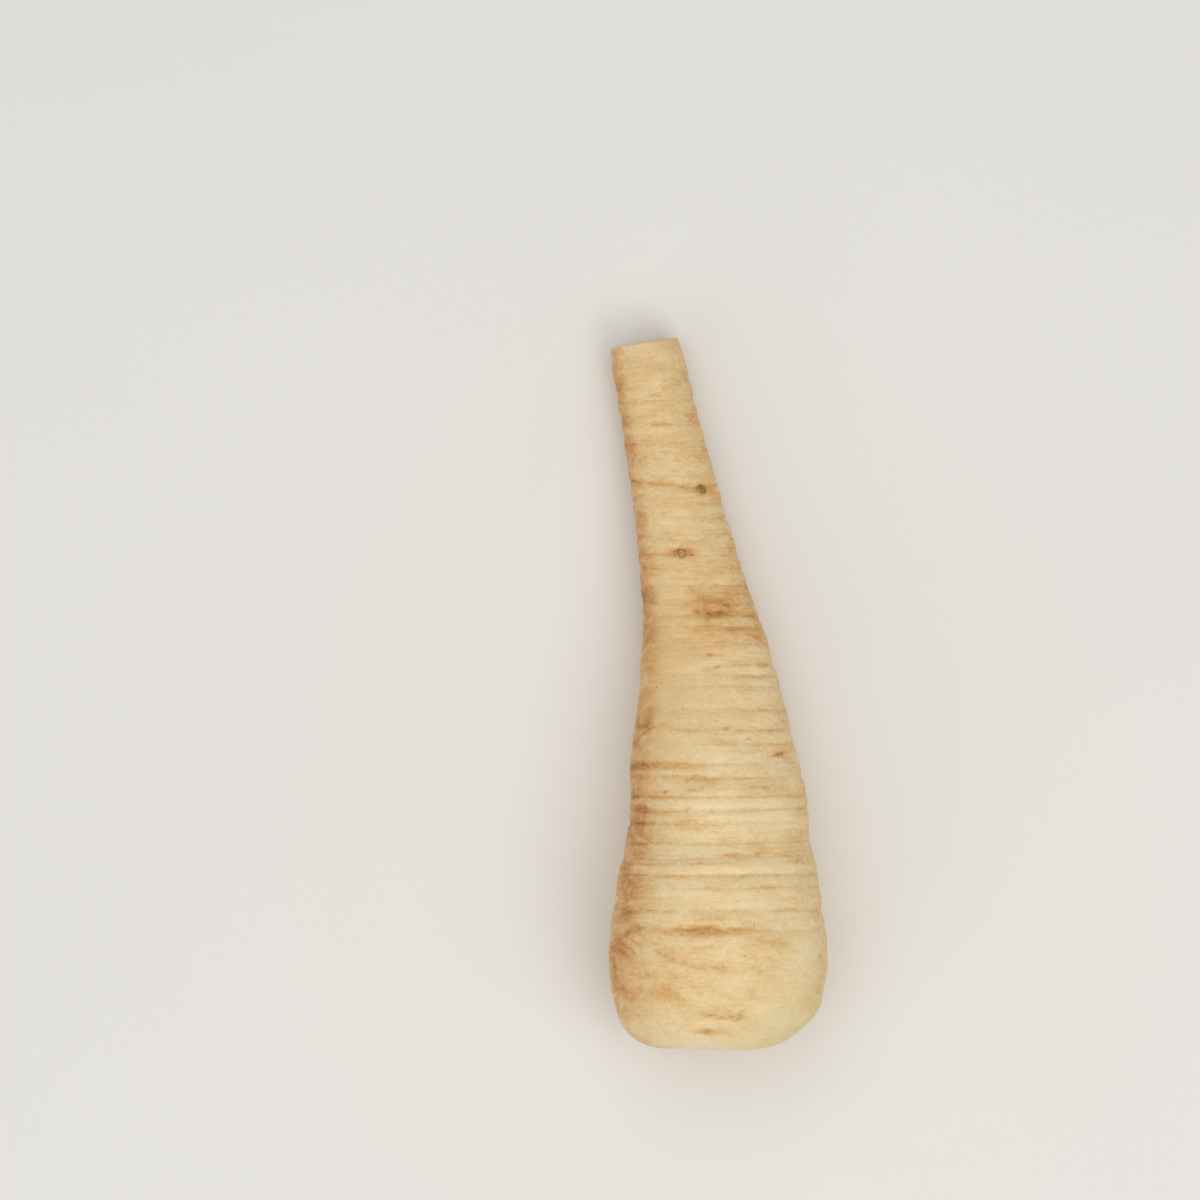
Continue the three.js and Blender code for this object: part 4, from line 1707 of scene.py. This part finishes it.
def tube(path: Array, radii: Array, sides: int = 6) -> Array:
    """Rows of points round a path.

    Args:
        path: the points that the tube follows.
        radii: its radius at each of them.
        sides: how many sides it has.

    Returns:
        One row for each point of the path, clockwise seen along it.
    """
    ahead = np.gradient(path, axis=0)
    ahead /= np.linalg.norm(ahead, axis=1)[:, None]
    helper = np.eye(3)[np.argmin(np.abs(ahead).sum(axis=0))]
    side = np.cross(ahead, helper)
    side /= np.linalg.norm(side, axis=1)[:, None]
    other = np.cross(ahead, side)
    turn = np.linspace(0, TURN, sides, endpoint=False)[None, :, None]
    ring = side[:, None, :] * np.cos(turn) + other[:, None, :] * np.sin(turn)
    return path[:, None, :] + radii[:, None, None] * ring


@dataclass
class Rootlets(Assembly):
    """Hair-thin side roots that cling to the skin by their scars."""

    count: int = 14
    thick: float = 0.13
    shortest: float = 2.0
    longest: float = 6.0
    points: int = 12
    seed: int = 71

    def path(self, scar: Scar, draw: Iterator[float]) -> Array:
        """The route of one rootlet over the skin, from its scar to its tip.

        Args:
            scar: where it starts.
            draw: the random draws that all rootlets share.

        Returns:
            Its points in millimetres.
        """
        length = mix(self.shortest, self.longest, next(draw) ** 1.5)
        heading = TURN * next(draw)
        curl = 1.6 * (next(draw) - 0.5)
        t = np.linspace(0, 1, self.points)
        angle = heading + curl * t
        ring_at = scar.along + length * np.cumsum(np.cos(angle)) / self.points
        across = 0.5 * length * np.cumsum(np.sin(angle)) / self.points
        around = math.radians(scar.degrees) + across / float(self.form.half_width(scar.along))
        lift = -0.25 + 0.42 * smoothstep(0, 0.3, t) + 0.25 * next(draw) * t
        return self.form.points(ring_at, around, 1.0, lift)

    def build(self) -> bpy.types.Object:
        """Makes all the rootlets as one piece.

        Returns:
            The piece.
        """
        draw = draws(self.seed)
        marks = self.form.scars
        scars = marks.scars()[len(marks.top):]
        parts = []
        for i in range(self.count):
            path = self.path(scars[(7 * i) % len(scars)], draw)
            radii = self.thick * mix(0.7, 1.2, next(draw)) * np.linspace(1, 0.25, self.points)
            parts.append((tube(path, radii), {}))
        return self.joined("rootlets", FibreFinish().material(), parts)


@dataclass(frozen=True)
class Stub:
    """One broken side root: its place, height and width."""

    along: float
    degrees: float
    height: float
    width: float


@dataclass
class SideStubs(Assembly):
    """Broken side roots that stand a little out of their scars."""

    stubs: tuple[Stub, ...] = rows_of(
        Stub,
        (72, 124, 1, 2.4), (104.5, -8, 0.7, 1.6), (110, 238, 1, 1.9), (118, 40, 0.8, 1.6),
        (127, 166, 0.9, 1.6),
    )
    levels: tuple[float, ...] = (-1.8, -0.4, 0.1, 0.4, 0.65, 0.8, 0.92, 1.0, 0.9, 0.8)
    shares: tuple[float, ...] = (0.8, 0.72, 0.6, 0.52, 0.46, 0.42, 0.36, 0.28, 0.18, 0.05)
    sides: int = 18
    finish: FibreFinish = FibreFinish(pale=paint(202, 162, 106), dark=paint(150, 106, 62))

    def rows(self, stub: Stub) -> Array:
        """One stub, from its sunk foot to its dished tip.

        Args:
            stub: where it stands and how big it is.

        Returns:
            Its rows of points in millimetres.
        """
        around = math.radians(stub.degrees)
        foot = self.form.points(np.array(stub.along), np.array(around))
        outward = np.array([math.sin(around), 0, math.cos(around)])
        sideways = np.array([math.cos(around), 0, -math.sin(around)])
        turn = np.linspace(0, TURN, self.sides, endpoint=False)
        oval = 0.16 * np.sin(2 * turn + stub.along)
        uneven = 1 + (oval + 0.1 * np.sin(3 * turn) + 0.06 * np.sin(7 * turn))
        torn = 0.2 * np.sin(2 * turn + stub.degrees) + 0.12 * np.sin(5 * turn)
        rows = []
        for level, share in zip(self.levels, self.shares):
            radius = share * stub.width * uneven
            height = stub.height * (level + max(level, 0) * torn)
            row = foot + np.outer(height, outward) + np.outer(radius * np.cos(turn), sideways)
            row[:, 1] += radius * np.sin(turn)
            rows.append(row)
        return np.stack(rows)

    def build(self) -> bpy.types.Object:
        """Makes all the stubs as one piece."""
        parts = [(self.rows(stub), {}) for stub in self.stubs]
        return self.joined("side_root_stubs", self.finish.material(), parts)


# ---------------------------------------------------------------- studio


@dataclass(frozen=True)
class Softbox:
    """One square area light: where it stands, its size in metres, its power and its colour."""

    name: str
    position: Triple
    size: float
    watts: float
    colour: Colour = (1.0, 1.0, 1.0)


@dataclass
class Studio:
    """A pale floor, soft lights and a camera that looks straight down."""

    picture: Picture = Picture()
    axis_height: float = 0.021
    camera_height: float = 6.0  # above the root's axis
    nearest: float = 0.01  # what the camera sees at all
    sensor: float = 36.0
    floor_size: float = 6.0
    sky: float = 0.42
    target: Triple = (0.0, 0.0, 0.02)
    boxes: tuple[Softbox, ...] = (
        Softbox("key_softbox", (0.32, -0.32, 0.8), 0.6, 2.5, (1.0, 0.985, 0.96)),
        Softbox("top_softbox", (-0.12, 0.2, 0.95), 0.9, 2.6),
        Softbox("fill_softbox", (-0.55, -0.45, 0.5), 0.7, 1.0, (1.0, 0.99, 0.97)),
    )

    def camera(self) -> bpy.types.Object:
        """Makes the camera and sets it as the scene's.

        Returns:
            The camera, over the middle of the frame, with +Y up in it.
        """
        data = bpy.data.cameras.new("studio_camera")
        data.sensor_width = self.sensor
        picture = self.picture
        data.lens = self.sensor * self.camera_height / (picture.pixels * picture.pixel * MM)
        data.clip_start = self.nearest
        camera = bpy.data.objects.new("studio_camera", data)
        x, y = picture.spot(picture.pixels / 2, picture.pixels / 2)
        camera.location = (x * MM, y * MM, self.axis_height + self.camera_height)
        bpy.context.collection.objects.link(camera)
        bpy.context.scene.camera = camera
        return camera

    def floor(self) -> bpy.types.Object:
        """Makes the floor, just under the root.

        Returns:
            The floor, which belongs to the studio and not to the root.
        """
        half = self.floor_size / 2
        mesh = bpy.data.meshes.new("studio_floor")
        corners = [(-half, -half, 0), (half, -half, 0), (half, half, 0), (-half, half, 0)]
        mesh.from_pydata(corners, [], [(0, 1, 2, 3)])
        mesh.materials.append(FloorFinish().material())
        floor = bpy.data.objects.new("studio_floor", mesh)
        bpy.context.collection.objects.link(floor)
        return floor

    def lights(self) -> None:
        """Makes the softboxes, each turned to the root, and the even light of the room."""
        for box in self.boxes:
            data = bpy.data.lights.new(box.name, "AREA")
            data.size = box.size
            data.energy = box.watts
            data.color = box.colour
            light = bpy.data.objects.new(box.name, data)
            light.location = box.position
            aim = Vector(self.target) - light.location
            light.rotation_euler = aim.to_track_quat("-Z", "Y").to_euler()
            bpy.context.collection.objects.link(light)
        world = bpy.data.worlds.new("studio_room")
        world.use_nodes = True
        world.node_tree.nodes["Background"].inputs["Strength"].default_value = self.sky
        world.node_tree.nodes["Background"].inputs["Color"].default_value = (1, 1, 1, 1)
        bpy.context.scene.world = world

    def colours(self) -> None:
        """Shows the paint colours as they are."""
        bpy.context.scene.view_settings.view_transform = "Standard"
        bpy.context.scene.view_settings.look = "None"


def main() -> None:
    """Builds the studio and every piece of the root, and logs how many faces each piece has."""
    logging.basicConfig(level=logging.INFO, format="%(name)s: %(message)s")
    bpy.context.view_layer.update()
    studio = Studio()
    studio.camera()
    form = RootForm()
    place = Place.of_form(form)
    for assembly in (RootSkin(form, place), LeafStalks(form, place), SideStubs(form, place),
                     Rootlets(form, place)):
        assembly.build()
    studio.floor()
    studio.lights()
    studio.colours()


if __name__ == "__main__":
    main()
